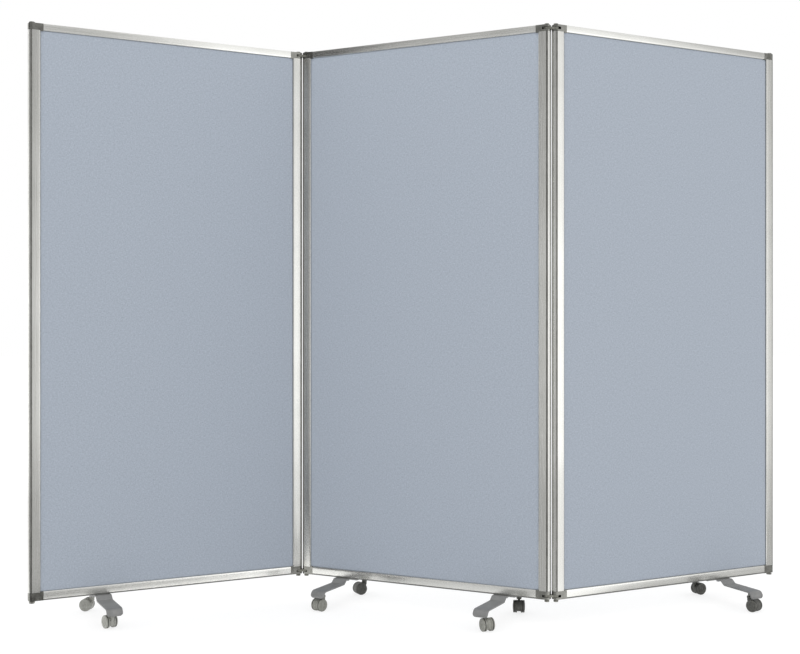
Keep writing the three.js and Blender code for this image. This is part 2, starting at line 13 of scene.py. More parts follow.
import bmesh
import bpy
import numpy as np
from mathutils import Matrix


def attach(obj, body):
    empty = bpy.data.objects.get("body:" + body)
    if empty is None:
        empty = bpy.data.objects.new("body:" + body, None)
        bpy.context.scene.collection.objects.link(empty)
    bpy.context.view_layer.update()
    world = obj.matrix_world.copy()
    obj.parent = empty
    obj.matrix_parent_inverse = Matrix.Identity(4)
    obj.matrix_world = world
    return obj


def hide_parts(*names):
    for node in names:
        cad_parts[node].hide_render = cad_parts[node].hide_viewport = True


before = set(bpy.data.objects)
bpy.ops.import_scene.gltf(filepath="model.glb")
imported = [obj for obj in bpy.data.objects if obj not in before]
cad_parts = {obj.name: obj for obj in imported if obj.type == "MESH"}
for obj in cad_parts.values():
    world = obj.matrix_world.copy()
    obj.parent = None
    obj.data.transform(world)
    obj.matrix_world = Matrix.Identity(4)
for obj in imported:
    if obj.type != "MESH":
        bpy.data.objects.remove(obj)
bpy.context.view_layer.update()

Array = np.ndarray
Pairs = tuple[tuple[float, float], ...]
MM = 0.001
DOUBLE = 1e-6  # points nearer than this are one point
NEEDLE = 1e-7  # edges shorter than this are nothing
COPLANAR = math.radians(1.0)  # faces that fold by less than this are one face
STRAIGHT = 0.9999  # cosine beyond which a corner counts as straight
CORNER_SHARE = 0.45  # largest part of a side that the curve at one of its ends takes
LOG = logging.getLogger("privacy_screen")


# Arrays of points


def arc(
    centre: Sequence[float], radius: float | Sequence[float], start: float, end: float, steps: int
) -> Array:
    """Points on a circle or an ellipse: centre plus radius times (cosine, sine) of even angles.

    Args:
        centre: Centre of the circle.
        radius: Its radius, or the two radii of an ellipse.
        start: First angle in degrees.
        end: Last angle in degrees.
        steps: Number of spans between the two ends.

    Returns:
        Array of shape (steps + 1, 2).
    """
    angles = np.radians(np.linspace(start, end, steps + 1))
    wide, high = np.broadcast_to(radius, 2)
    return np.stack([centre[0] + wide * np.cos(angles), centre[1] + high * np.sin(angles)], axis=-1)


def rounded(corners: Array, radius: Array | float, steps: int = 4) -> Array:
    """Closed outline with every corner replaced by a short curve.

    The curve starts and ends at the tangent points of a circle of that radius, which lie at radius
    over the tangent of half the corner's angle from it, and runs as a quadratic Bezier whose middle
    point is the corner itself.

    Args:
        corners: Corners of the closed outline, shape (n, 2).
        radius: One radius, or one for each corner.
        steps: Number of spans in each curve.

    Returns:
        Array of shape (n * (steps + 1), 2).
    """
    back = np.roll(corners, 1, axis=0) - corners
    ahead = np.roll(corners, -1, axis=0) - corners
    back_length = np.linalg.norm(back, axis=1)
    ahead_length = np.linalg.norm(ahead, axis=1)
    back = back / back_length[:, None]
    ahead = ahead / ahead_length[:, None]
    half = np.arccos(np.clip((back * ahead).sum(axis=1), -STRAIGHT, STRAIGHT)) / 2
    cut = np.broadcast_to(radius, half.shape) / np.tan(half)
    cut = np.minimum(cut, CORNER_SHARE * np.minimum(back_length, ahead_length))[:, None, None]
    t = np.linspace(0, 1, steps + 1)[None, :, None]
    start = corners[:, None] + back[:, None] * cut
    end = corners[:, None] + ahead[:, None] * cut
    curve = (1 - t) ** 2 * start + 2 * t * (1 - t) * corners[:, None] + t**2 * end
    return curve.reshape(-1, 2)


def across(line: Array) -> Array:
    """Directions turned by -90 degrees: outwards from an outline that runs anticlockwise.

    Args:
        line: Directions, shape (n, 2).

    Returns:
        Unit vectors, shape (n, 2).
    """
    normal = np.stack([line[:, 1], -line[:, 0]], axis=-1)
    return normal / np.maximum(np.linalg.norm(normal, axis=1, keepdims=True), 1e-12)


def mirrored(points: Array, axis: int) -> Array:
    """The same points with one coordinate of the other sign, in the opposite order."""
    return (points * np.where(np.arange(2) == axis, -1.0, 1.0))[::-1]


def revolved(profile: Array, steps: int) -> Array:
    """Rings of a solid of revolution about +Z: (radius cos a, radius sin a, height) for each point.

    Args:
        profile: Points of (radius, height), shape (n, 2).
        steps: Number of spans round the axis.

    Returns:
        Array of shape (n, steps, 3).
    """
    angle = np.linspace(0, 2 * math.pi, steps, endpoint=False)
    x = profile[:, :1] * np.cos(angle)
    y = profile[:, :1] * np.sin(angle)
    z = np.broadcast_to(profile[:, 1:], x.shape)
    return np.stack([x, y, z], axis=-1)


def carried(outline: Array, low: float, high: float, axis: int, spans: int = 8) -> Array:
    """Rings of an outline that is carried straight along one axis, its own pair on the other two.

    Args:
        outline: The outline, shape (n, 2).
        low: Where it starts.
        high: Where it ends.
        axis: Number of the axis that it runs along.
        spans: Number of spans.

    Returns:
        Array of shape (spans + 1, n, 3).
    """
    rings = np.empty((spans + 1, len(outline), 3))
    rings[..., axis] = np.linspace(low, high, spans + 1)[:, None]
    rings[..., [number for number in range(3) if number != axis]] = outline
    return rings


def plate(outline: Array, half_width: float, edge: float, steps: int = 4) -> Array:
    """Rings of a flat plate with rounded edges, whose outline lies in the XZ plane.

    Across Y the outline moves inwards along its normals by edge times one minus the sine, while Y
    runs by edge times the cosine, for angles from 0 to 90 degrees and back.

    Args:
        outline: Closed outline that runs anticlockwise, shape (n, 2).
        half_width: Half of the plate's thickness.
        edge: Radius of its edges.
        steps: Spans in each rounded edge.

    Returns:
        Array of shape (2 * steps + 2, n, 3).
    """
    angle = np.radians(np.linspace(0, 90, steps + 1))
    inset = edge * (1 - np.sin(angle))
    reach = half_width - edge + edge * np.cos(angle)
    inset = np.concatenate([inset, inset[::-1]])
    reach = np.concatenate([-reach, reach[::-1]])
    out = across(np.roll(outline, -1, axis=0) - np.roll(outline, 1, axis=0))
    flat = outline[None] - out[None] * inset[:, None, None]
    y = np.broadcast_to(reach[:, None], flat.shape[:2])
    return np.stack([flat[..., 0], y, flat[..., 1]], axis=-1)


def grid_quads(rows: int, columns: int, closed: bool = False) -> tuple[Array, Array, Array]:
    """Faces of a grid: each point joins the next in its row and the two above them.

    Args:
        rows: Number of rows of points.
        columns: Number of points in each row.
        closed: True where the last point of a row joins its first.

    Returns:
        Each face's row, its column, and its four point numbers.
    """
    row, column = np.meshgrid(np.arange(rows - 1), np.arange(columns - (not closed)), indexing="ij")
    row, column = row.ravel(), column.ravel()
    after = (column + 1) % columns
    below, above = row * columns, (row + 1) * columns
    return row, column, np.stack([below + column, below + after, above + after, above + column], -1)


# Places


@dataclass(frozen=True)
class Place:
    """A turn about +Z followed by a shift.

    Attributes:
        turn: Angle in radians.
        x: Shift along +X.
        y: Shift along +Y.
        z: Shift along +Z.
        flipped: True for a piece that is first turned over about the X axis, as a bottom cap is.
    """

    turn: float = 0.0
    x: float = 0.0
    y: float = 0.0
    z: float = 0.0
    flipped: bool = False

    def apply(self, points: Array) -> Array:
        """Moves points of shape (..., 3) by the rotation matrix about +Z and the shift.

        Args:
            points: Points to move.

        Returns:
            The moved points, in the same shape.
        """
        moved = points * np.array([1.0, -1.0, -1.0]) if self.flipped else points
        c, s = math.cos(self.turn), math.sin(self.turn)
        matrix = np.array([[c, -s, 0.0], [s, c, 0.0], [0.0, 0.0, 1.0]])
        return moved @ matrix.T + np.array([self.x, self.y, self.z])

    def within(
        self, x: float, y: float = 0.0, z: float = 0.0, turn: float = 0.0, flipped: bool = False
    ) -> "Place":
        """A place that is given in this place's own axes.

        Args:
            x: Shift along this place's X axis.
            y: Shift along this place's Y axis.
            z: Shift along +Z.
            turn: Further turn in radians.
            flipped: True for a piece that is turned over.

        Returns:
            The combined place.
        """
        at = self.apply(np.array([x, y, z]))
        return Place(self.turn + turn, float(at[0]), float(at[1]), float(at[2]), flipped)


# Meshes


def linked(name: str, data: bpy.types.ID) -> bpy.types.Object:
    """Makes an object at the origin and links it to the scene.

    Args:
        name: Its name.
        data: Its mesh, lamp or camera.

    Returns:
        The new object.
    """
    made = bpy.data.objects.new(name, data)
    bpy.context.scene.collection.objects.link(made)
    return made


def meshed(
    name: str, points: Array, faces: list[list[int]], uv: Array | None = None, layer: str = "metres"
) -> bpy.types.Mesh:
    """Makes a mesh with a UV map.

    Args:
        name: Its name.
        points: Points, shape (..., 3).
        faces: Point numbers of each face.
        uv: One UV pair for each face corner, or None.
        layer: Name of the UV map.

    Returns:
        The mesh.
    """
    mesh = bpy.data.meshes.new(name)
    mesh.from_pydata(points.reshape(-1, 3).tolist(), [], faces)
    if uv is not None:
        mesh.uv_layers.new(name=layer).data.foreach_set("uv", uv.astype(np.float32).ravel())
    return mesh


def clean(mesh: bpy.types.Mesh, sharp: float, join_flat: bool = False) -> None:
    """Merges doubles, turns faces outwards, shades smooth and marks sharp edges.

    Args:
        mesh: The mesh.
        sharp: Edges that fold by more than this many degrees stay sharp.
        join_flat: True to join faces that lie in one plane.
    """
    body = bmesh.new()
    body.from_mesh(mesh)
    bmesh.ops.remove_doubles(body, verts=body.verts, dist=DOUBLE)
    if join_flat:
        bmesh.ops.dissolve_limit(body, angle_limit=COPLANAR, verts=body.verts, edges=body.edges)
    else:
        bmesh.ops.dissolve_degenerate(body, dist=NEEDLE, edges=body.edges)
    bmesh.ops.recalc_face_normals(body, faces=body.faces)
    for face in body.faces:
        face.smooth = True
    for edge in body.edges:
        edge.smooth = edge.is_manifold and edge.calc_face_angle(0.0) < math.radians(sharp)
    body.to_mesh(mesh)
    body.free()


def lofted(name: str, rings: Array, capped: bool = True, sharp: float = 32.0) -> bpy.types.Object:
    """Skin through a stack of closed rings: each point joins its neighbours in both directions.

    Its UV map is the distance round the middle ring and the distance along the first column.

    Args:
        name: Name of the piece.
        rings: Points, shape (rows, columns, 3).
        capped: True to close the first and last ring with a flat face.
        sharp: Angle in degrees above which an edge stays sharp.

    Returns:
        The new object.
    """
    rows, columns = rings.shape[:2]
    row, column, quads = grid_quads(rows, columns, closed=True)
    middle = rings[rows // 2]
    spans = np.linalg.norm(np.roll(middle, -1, axis=0) - middle, axis=1)
    around = np.concatenate([[0.0], np.cumsum(spans)])
    spans = np.linalg.norm(np.diff(rings[:, 0], axis=0), axis=1)
    along = np.concatenate([[0.0], np.cumsum(spans)])
    u = around[np.stack([column, column + 1, column + 1, column], axis=-1)]
    v = along[np.stack([row, row, row + 1, row + 1], axis=-1)]
    uv = np.stack([u, v], axis=-1).reshape(-1, 2)
    faces = quads.tolist()
    if capped:
        faces.append(list(range(columns)))
        faces.append(list(range((rows - 1) * columns, rows * columns)))
        end = np.stack([around[:-1], np.zeros(columns)], axis=-1)
        uv = np.concatenate([uv, end, end])
    mesh = meshed(name, rings, faces, uv)
    clean(mesh, sharp)
    return linked(name, mesh)


def softened_copy(node: str, name: str, width: float) -> bpy.types.Object:
    """A copy of a CAD node with its flat faces joined and its edges rounded by a Bevel modifier.

    Args:
        node: Name of the CAD node.
        name: Name of the new piece.
        width: Width of the rounding.

    Returns:
        The new object.
    """
    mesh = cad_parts[node].data.copy()
    mesh.name = name
    mesh.materials.clear()
    clean(mesh, sharp=30.0, join_flat=True)
    piece = linked(name, mesh)
    bevel = piece.modifiers.new("edge", "BEVEL")
    bevel.width = width
    bevel.segments = 2
    bevel.limit_method = "ANGLE"
    bevel.angle_limit = math.radians(32)
    bevel.harden_normals = True
    return piece


# Finishes


def linear(colour: str) -> tuple[float, float, float, float]:
    """Turns an sRGB hex colour into linear values with full alpha.

    Args:
        colour: Six hex digits.

    Returns:
        Red, green, blue and alpha for a node socket.
    """
    values = np.array([int(colour[i : i + 2], 16) for i in (0, 2, 4)]) / 255
    values = np.where(values <= 0.04045, values / 12.92, ((values + 0.055) / 1.055) ** 2.4)
    return (float(values[0]), float(values[1]), float(values[2]), 1.0)


class NodeKind(Enum):
    """Shader nodes used by the finishes."""

    COORDINATES = "ShaderNodeTexCoord"
    MAPPING = "ShaderNodeMapping"
    NOISE = "ShaderNodeTexNoise"
    WAVE = "ShaderNodeTexWave"
    MATHS = "ShaderNodeMath"
    RAMP = "ShaderNodeValToRGB"
    RANGE = "ShaderNodeMapRange"
    BUMP = "ShaderNodeBump"
    MIX = "ShaderNodeMix"
    LIGHT_PATH = "ShaderNodeLightPath"
    SEPARATE = "ShaderNodeSeparateXYZ"
    TANGENT = "ShaderNodeTangent"
    MIX_SHADER = "ShaderNodeMixShader"
    DIFFUSE = "ShaderNodeBsdfDiffuse"
    EMISSION = "ShaderNodeEmission"
    BACKGROUND = "ShaderNodeBackground"
    MATERIAL_OUTPUT = "ShaderNodeOutputMaterial"
    WORLD_OUTPUT = "ShaderNodeOutputWorld"


def plug(tree: bpy.types.NodeTree, node: bpy.types.Node, inputs: dict[Any, Any]) -> None:
    """Sets or links inputs of a node.

    Args:
        tree: The node tree.
        node: The node.
        inputs: Socket name or number to a value, or to an output socket that is linked to it.
    """
    for key, value in inputs.items():
        if isinstance(value, bpy.types.NodeSocket):
            tree.links.new(value, node.inputs[key])
        else:
            node.inputs[key].default_value = value


def add_node(
    tree: bpy.types.NodeTree, kind: NodeKind, inputs: dict[Any, Any], **settings: Any
) -> bpy.types.Node:
    """Adds one node with its settings, values and links.

    Args:
        tree: The node tree.
        kind: Kind of node.
        inputs: As for plug.
        **settings: Properties of the node.

    Returns:
        The new node.
    """
    node = tree.nodes.new(kind.value)
    for key, value in settings.items():
        setattr(node, key, value)
    plug(tree, node, inputs)
    return node


def graded(
    node: bpy.types.Node, positions: Sequence[float], colours: Sequence[str | float]
) -> bpy.types.NodeSocket:
    """Sets the stops of a colour ramp.

    Args:
        node: The ramp node.
        positions: Position of each stop.
        colours: Each stop's sRGB hex colour or linear grey value.

    Returns:
        The ramp's colour socket.
    """
    elements = node.color_ramp.elements
    while len(elements) < len(positions):
        elements.new(0.5)
    for element, position, colour in zip(elements, positions, colours):
        element.position = position
        element.color = linear(colour) if isinstance(colour, str) else (*[colour] * 3, 1.0)
    return node.outputs[0]


def emptied(owner: bpy.types.Material | bpy.types.World) -> bpy.types.NodeTree:
    """Turns on the nodes of a material or world and clears them.

    Args:
        owner: The material or world.

    Returns:
        Its empty node tree.
    """
    owner.use_nodes = True
    owner.node_tree.nodes.clear()
    return owner.node_tree


@dataclass(frozen=True)
class Finish:
    """A finish, whose material is made at its first use.

    Attributes:
        name: What the real surface is, and its material's name.
        metallic: Share of metal in its surface.
        roughness: Roughness of its sheen.
    """

    name: str
    metallic: float
    roughness: float

    def material(self) -> bpy.types.Material:
        """Finds the material by its name, or makes it.

        Returns:
            The material.
        """
        made = bpy.data.materials.get(self.name)
        if made is None:
            made = bpy.data.materials.new(self.name)
            made.use_nodes = True
            shader = made.node_tree.nodes["Principled BSDF"]
            values = {"Metallic": self.metallic, "Roughness": self.roughness}
            plug(made.node_tree, shader, values | self.build(made.node_tree))
        return made

    def build(self, tree: bpy.types.NodeTree) -> dict[str, Any]:
        """Adds the finish's patterns.

        Args:
            tree: The material's node tree.

        Returns:
            Inputs of its Principled BSDF node.
        """
        return {}

    def dress(self, piece: bpy.types.Object) -> None:
        """Puts the material on every face of a piece.

        Args:
            piece: The piece.
        """
        for entry in piece.material_slots:
            entry.material = self.material()
        if not piece.material_slots:
            piece.data.materials.append(self.material())


@dataclass(frozen=True)
class AnodisedAluminium(Finish):
    """Extruded aluminium, satin anodised: a soft grey metal with faint lines along the extrusion.

    The lines spread a reflection across them, which the tangent along the UV map's first axis gives.
    The die leaves lines a fraction of a millimetre apart. They are drawn 0.9 mm apart, so that they
    still show as a slight unevenness of the sheen.
    """

    name: str = "satin anodised aluminium extrusion"
    metallic: float = 1.0
    roughness: float = 0.24
    anisotropy: float = 0.8
    tones: tuple[str, str, str] = ("bdbdb9", "c9c9c5", "d2d2cf")
    positions: tuple[float, float, float] = (0.3, 0.5, 0.7)
    sheen: tuple[float, float] = (-0.03, 0.04)
    line_pitch: float = 0.9 * MM
    line_length: float = 160 * MM
    line_depth: float = 0.02 * MM
    cloud: float = 140 * MM
    cloud_share: float = 0.4

    def build(self, tree: bpy.types.NodeTree) -> dict[str, Any]:
        """Die lines from noise stretched along the extrusion, which vary colour, roughness and bump.

        Args:
            tree: The material's node tree.

        Returns:
            Inputs of its Principled BSDF node.
        """
        place = add_node(tree, NodeKind.COORDINATES, {})
        stretch = (1 / self.line_pitch, 1 / self.line_length, 1.0)
        mapped = add_node(
            tree, NodeKind.MAPPING, {"Vector": place.outputs["UV"], "Scale": stretch}
        )
        lines = add_node(
            tree,
            NodeKind.NOISE,
            {"Vector": mapped.outputs[0], "Scale": 1.0, "Detail": 3.0},
            noise_dimensions="2D",
        )
        cloud = add_node(
            tree,
            NodeKind.NOISE,
            {"Vector": place.outputs["Object"], "Scale": 1 / self.cloud, "Detail": 2.0},
        )
        both = add_node(
            tree,
            NodeKind.MIX,
            {0: self.cloud_share, 2: lines.outputs[0], 3: cloud.outputs[0]},
            data_type="FLOAT",
        )
        tone = add_node(tree, NodeKind.RAMP, {0: both.outputs[0]})
        low, high = (self.roughness + change for change in self.sheen)
        sheen = add_node(
            tree, NodeKind.RANGE, {0: lines.outputs[0], 1: 0.3, 2: 0.7, 3: low, 4: high}
        )
        bump = add_node(
            tree,
            NodeKind.BUMP,
            {"Strength": 0.25, "Distance": self.line_depth, "Height": lines.outputs[0]},
        )
        along = add_node(tree, NodeKind.TANGENT, {}, direction_type="UV_MAP", uv_map="metres")
        return {
            "Base Color": graded(tone, self.positions, self.tones),
            "Roughness": sheen.outputs[0],
            "Normal": bump.outputs[0],
            "Anisotropic": self.anisotropy,
            "Tangent": along.outputs[0],
        }


@dataclass(frozen=True)
class PanelCloth(Finish):
    """Woven polyester panel cloth: blue-grey yarns of slightly different dye, matt and a little fuzzy.

    A yarn is about 1.1 mm wide. The weave is drawn at that size, and the heathered mottle over it at
    4 mm, which is what still shows from a few metres away.
    """

    name: str = "blue-grey woven panel cloth"
    metallic: float = 0.0
    roughness: float = 0.93
    tones: tuple[str, str, str] = ("8e96a2", "a6aeb9", "bcc4ce")
    positions: tuple[float, float, float] = (0.28, 0.5, 0.72)
    yarn: float = 1.1 * MM
    slub: float = 9 * MM
    mottle: float = 4 * MM
    mottle_share: float = 0.55
    relief: float = 0.15 * MM
    fuzz: float = 0.06
    shine: float = 0.12

    @property
    def wave_scale(self) -> float:
        """A Wave node's scale for one band to each yarn: a tenth of pi over the yarn's width."""
        return 0.314 / self.yarn

    def build(self, tree: bpy.types.NodeTree) -> dict[str, Any]:
        """Plain weave: bands of warp times bands of weft for relief, stretched noise for the dye.

        Args:
            tree: The material's node tree.

        Returns:
            Inputs of its Principled BSDF node.
        """
        uv = add_node(tree, NodeKind.COORDINATES, {}).outputs["UV"]
        fine, coarse = 1 / self.yarn, 1 / self.slub
        yarns = []
        for stretch in ((fine, coarse, 1.0), (coarse, fine, 1.0)):
            mapped = add_node(tree, NodeKind.MAPPING, {"Vector": uv, "Scale": stretch})
            inputs = {"Vector": mapped.outputs[0], "Scale": 1.0, "Detail": 2.0}
            yarns.append(add_node(tree, NodeKind.NOISE, inputs, noise_dimensions="2D").outputs[0])
        crossed = add_node(
            tree, NodeKind.MIX, {0: 0.5, 2: yarns[0], 3: yarns[1]}, data_type="FLOAT"
        )
        mottle = add_node(
            tree,
            NodeKind.NOISE,
            {"Vector": uv, "Scale": 1 / self.mottle, "Detail": 4.0, "Roughness": 0.75},
            noise_dimensions="2D",
        )
        mixed = add_node(
            tree,
            NodeKind.MIX,
            {0: self.mottle_share, 2: crossed.outputs[0], 3: mottle.outputs[0]},
            data_type="FLOAT",
        )
        dye = add_node(tree, NodeKind.RAMP, {0: mixed.outputs[0]})
        warp, weft = (
            add_node(
                tree,
                NodeKind.WAVE,
                {"Vector": uv, "Scale": self.wave_scale, "Distortion": 0.6, "Detail": 1.0},
                wave_type="BANDS",
                bands_direction=direction,
            )
            for direction in ("X", "Y")
        )
        weave = add_node(
            tree, NodeKind.MATHS, {0: warp.outputs[1], 1: weft.outputs[1]}, operation="MULTIPLY"
        )
        height = add_node(
            tree, NodeKind.MATHS, {0: weave.outputs[0], 1: crossed.outputs[0]}, operation="ADD"
        )
        bump = add_node(
            tree,
            NodeKind.BUMP,
            {"Strength": 0.35, "Distance": self.relief, "Height": height.outputs[0]},
        )
        return {
            "Base Color": graded(dye, self.positions, self.tones),
            "Normal": bump.outputs[0],
            "Sheen Weight": self.fuzz,
            "Sheen Roughness": 0.5,
            "Specular IOR Level": self.shine,
        }


@dataclass(frozen=True)
class GrainedSurface(Finish):
    """A moulded or coated surface: fine grain for the bump, and large soft patches for its tone.

    Attributes:
        tones: sRGB hex tones of its dull patches, of most of it, and of its rubbed patches.
        pitch: Distance between the bumps of its grain.
        depth: Height of the grain.
        patch: Size of the uneven patches.
    """

    tones: tuple[str, str, str]
    pitch: float
    depth: float
    patch: float
    positions: tuple[float, float, float] = (0.3, 0.5, 0.72)
    gloss_change: float = 0.06

    def build(self, tree: bpy.types.NodeTree) -> dict[str, Any]:
        """Noise at the grain's pitch for the bump, and at the patch's size for colour and roughness.

        Args:
            tree: The material's node tree.

        Returns:
            Inputs of its Principled BSDF node.
        """
        place = add_node(tree, NodeKind.COORDINATES, {}).outputs["Object"]
        patches = add_node(
            tree,
            NodeKind.NOISE,
            {"Vector": place, "Scale": 1 / self.patch, "Detail": 5.0, "Roughness": 0.6},
        )
        tone = add_node(tree, NodeKind.RAMP, {0: patches.outputs[0]})
        low, high = self.roughness - self.gloss_change, self.roughness + self.gloss_change
        gloss = add_node(
            tree, NodeKind.RANGE, {0: patches.outputs[0], 1: 0.3, 2: 0.7, 3: low, 4: high}
        )
        fine = add_node(
            tree, NodeKind.NOISE, {"Vector": place, "Scale": 1 / self.pitch, "Detail": 2.0}
        )
        bump = add_node(
            tree,
            NodeKind.BUMP,
            {"Strength": 0.5, "Distance": self.depth, "Height": fine.outputs[0]},
        )
        return {
            "Base Color": graded(tone, self.positions, self.tones),
            "Roughness": gloss.outputs[0],
            "Normal": bump.outputs[0],
        }


def nylon(shade: str, *tones: str) -> GrainedSurface:
    """Moulded nylon of the castor bodies and wheel discs: dull and faintly mottled. Its tone is
    painted light and shade, lighter for lit castors and darker for shaded ones.

    Args:
        shade: light, middle or dark.
        *tones: Its three tones.

    Returns:
        The finish.
    """
    return GrainedSurface(
        f"{shade} grey moulded nylon", 0.0, 0.45, tones, 0.7 * MM, 0.03 * MM, 9 * MM
    )


class PaintedShade(Enum):
    """Painted light and shade on a castor's nylon: one moulding in a lit, a half-lit and a shaded
    tone.
    """

    LIGHT = nylon("light", "8f8f88", "a0a099", "afafa9")
    MIDDLE = nylon("middle", "7d7d75", "8d8d85", "9c9c94")
    DARK = nylon("dark", "484843", "54544f", "63635d")


STILE_ALUMINIUM = AnodisedAluminium()

# The rails' extrusion is the same metal with lighter tones: painted light, which makes the rails read
# brighter than the stiles.
RAIL_ALUMINIUM_LIT = AnodisedAluminium(
    name="bright satin anodised aluminium extrusion", tones=("ccccc8", "d6d6d2", "dededb")
)

CLOTH = PanelCloth()

# Spark-eroded grain 0.6 mm apart. The flakes of the pigment near the surface reflect like a dull
# metal, so the caps turn light or dark with the side that they face.
CAP_PLASTIC = GrainedSurface(
    name="grey metal-effect moulded plastic",
    metallic=1.0,
    roughness=0.23,
    tones=("74746f", "83837e", "92928d"),
    pitch=0.6 * MM,
    depth=0.03 * MM,
    patch=16 * MM,
)

# The strip under the bottom rail: matt and faintly dusty, with a dark grey that paints the shade under
# the rail.
UNDER_RAIL_SHADE_STRIP = GrainedSurface(
    name="grey extruded elastomer",
    metallic=0.0,
    roughness=0.7,
    tones=("5d5d5a", "696966", "767673"),
    pitch=0.8 * MM,
    depth=0.03 * MM,
    patch=30 * MM,
)

# The seals fill the floor of each stile's groove, and their grey paints the shade deep in the groove.
# They hold the same kind of pigment as the caps, and turn light or dark as they do.
GROOVE_SHADE_SEAL = GrainedSurface(
    name="grey metal-effect extruded PVC",
    metallic=0.85,
    roughness=0.34,
    tones=("72726e", "80807c", "8e8e8a"),
    pitch=0.8 * MM,
    depth=0.03 * MM,
    patch=30 * MM,
)

# A grey phosphate coating: dull metal, worn a little lighter in patches.
PIN_STEEL = GrainedSurface(
    name="phosphated turned steel",
    metallic=0.7,
    roughness=0.42,
    tones=("66665f", "7a7a72", "8f8f88"),
    pitch=0.4 * MM,
    depth=0.01 * MM,
    patch=6 * MM,
)

# Powder coat has the slight orange peel of a baked coat, 1.6 mm apart.
FOOT_PAINT = GrainedSurface(
    name="grey powder coat on steel strap",
    metallic=0.0,
    roughness=0.42,
    tones=("727271", "7e7e7d", "8b8b89"),
    pitch=1.6 * MM,
    depth=0.05 * MM,
    patch=40 * MM,
)

# Zinc plate: a cool bright metal with faint clouding.
BOLT_STEEL = GrainedSurface(
    name="zinc-plated fastener steel",
    metallic=1.0,
    roughness=0.33,
    tones=("8f9194", "a5a7aa", "b7b9bc"),
    pitch=0.5 * MM,
    depth=0.01 * MM,
    patch=5 * MM,
)

# Near-black plastic as painted shade: the covers on the wheels' inner faces, which fill the shaded gap
# to the web, and the grooves behind their discs.
HUB_AND_GROOVE_SHADE = GrainedSurface(
    name="dark moulded hub plastic",
    metallic=0.0,
    roughness=0.6,
    tones=("232322", "2e2e2c", "3a3a38"),
    pitch=0.7 * MM,
    depth=0.03 * MM,
    patch=7 * MM,
)

# The board under the cloth, seen only at its hidden edges.
CORE_FOAM = GrainedSurface(
    name="off-white foam core",
    metallic=0.0,
    roughness=0.9,
    tones=("d8d6cc", "e2e0d7", "ebe9e1"),
    pitch=1.2 * MM,
    depth=0.1 * MM,
    patch=30 * MM,
)


def carry(
    piece: bpy.types.Object, body: str, finish: Finish, stands_for: str | None = None
) -> None:
    """Dresses a piece, lets it ride on a body and hides the CAD node that it stands for.

    Args:
        piece: The piece.
        body: Name of the CAD body that carries it.
        finish: Its finish.
        stands_for: The CAD node that it replaces.
    """
    finish.dress(piece)
    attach(piece, body)
    if stands_for:
        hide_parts(stands_for)
    LOG.info("%s on %s, %d faces", piece.name, body, len(piece.data.polygons))


# The screen


class Level(Enum):
    """The upper or the lower edge of a frame."""

    TOP = "top"
    BOTTOM = "bottom"


class Side(Enum):
    """The left or the right end of a panel or hinge."""

    LEFT = "left"
    RIGHT = "right"

    @property
    def sign(self) -> int:
        """-1 for the left and 1 for the right."""
        return -1 if self is Side.LEFT else 1


class Face(Enum):
    """The front or the rear of the screen, with the sign of its Y axis."""

    FRONT = ("front", -1)
    REAR = ("rear", 1)


@dataclass(frozen=True)
class FrameEdge:
    """What differs between the upper and the lower edge of a frame.

    Attributes:
        height: Height of the frame's outer edge.
        rail_depth: Depth of the rail from there inwards.
        cap_depth: Depth of the corner caps.
        stub: Bare shank between a cap and the head of its pin.
        head: Height of that head.
    """

    height: float
    rail_depth: float
    cap_depth: float
    stub: float
    head: float


@dataclass(frozen=True)
class Layout:
    """Sizes that all panels share, and where each panel stands."""

    panels: tuple[str, ...] = ("left_panel", "middle_panel", "right_panel")
    half_fold: float = math.radians(27.5)
    pin_spacing: float = 850 * MM
    link_pitch: float = 27 * MM
    top: FrameEdge = FrameEdge(1798 * MM, 21 * MM, 20 * MM, 0.0, 3.6 * MM)
    bottom: FrameEdge = FrameEdge(79 * MM, 26.5 * MM, 24.5 * MM, 3 * MM, 5 * MM)
    cap_reach: float = 31 * MM
    seat_gap: float = 0.3 * MM

    @property
    def half_rail(self) -> float:
        """Half of a rail's length between the caps."""
        return self.pin_spacing / 2 - self.cap_reach - self.seat_gap

    def edge(self, level: Level) -> FrameEdge:
        """The upper or the lower edge."""
        return self.top if level is Level.TOP else self.bottom

    def panel(self, name: str) -> Place:
        """The place of a panel: turned by half the fold, its centre on the X axis.

        Args:
            name: Name of the panel.

        Returns:
            Its place at floor level.
        """
        pitch = self.pin_spacing * math.cos(self.half_fold) + self.link_pitch
        steps = self.panels.index(name) - 1
        turn = -self.half_fold if steps == 0 else self.half_fold
        return Place(turn=turn, x=steps * pitch)


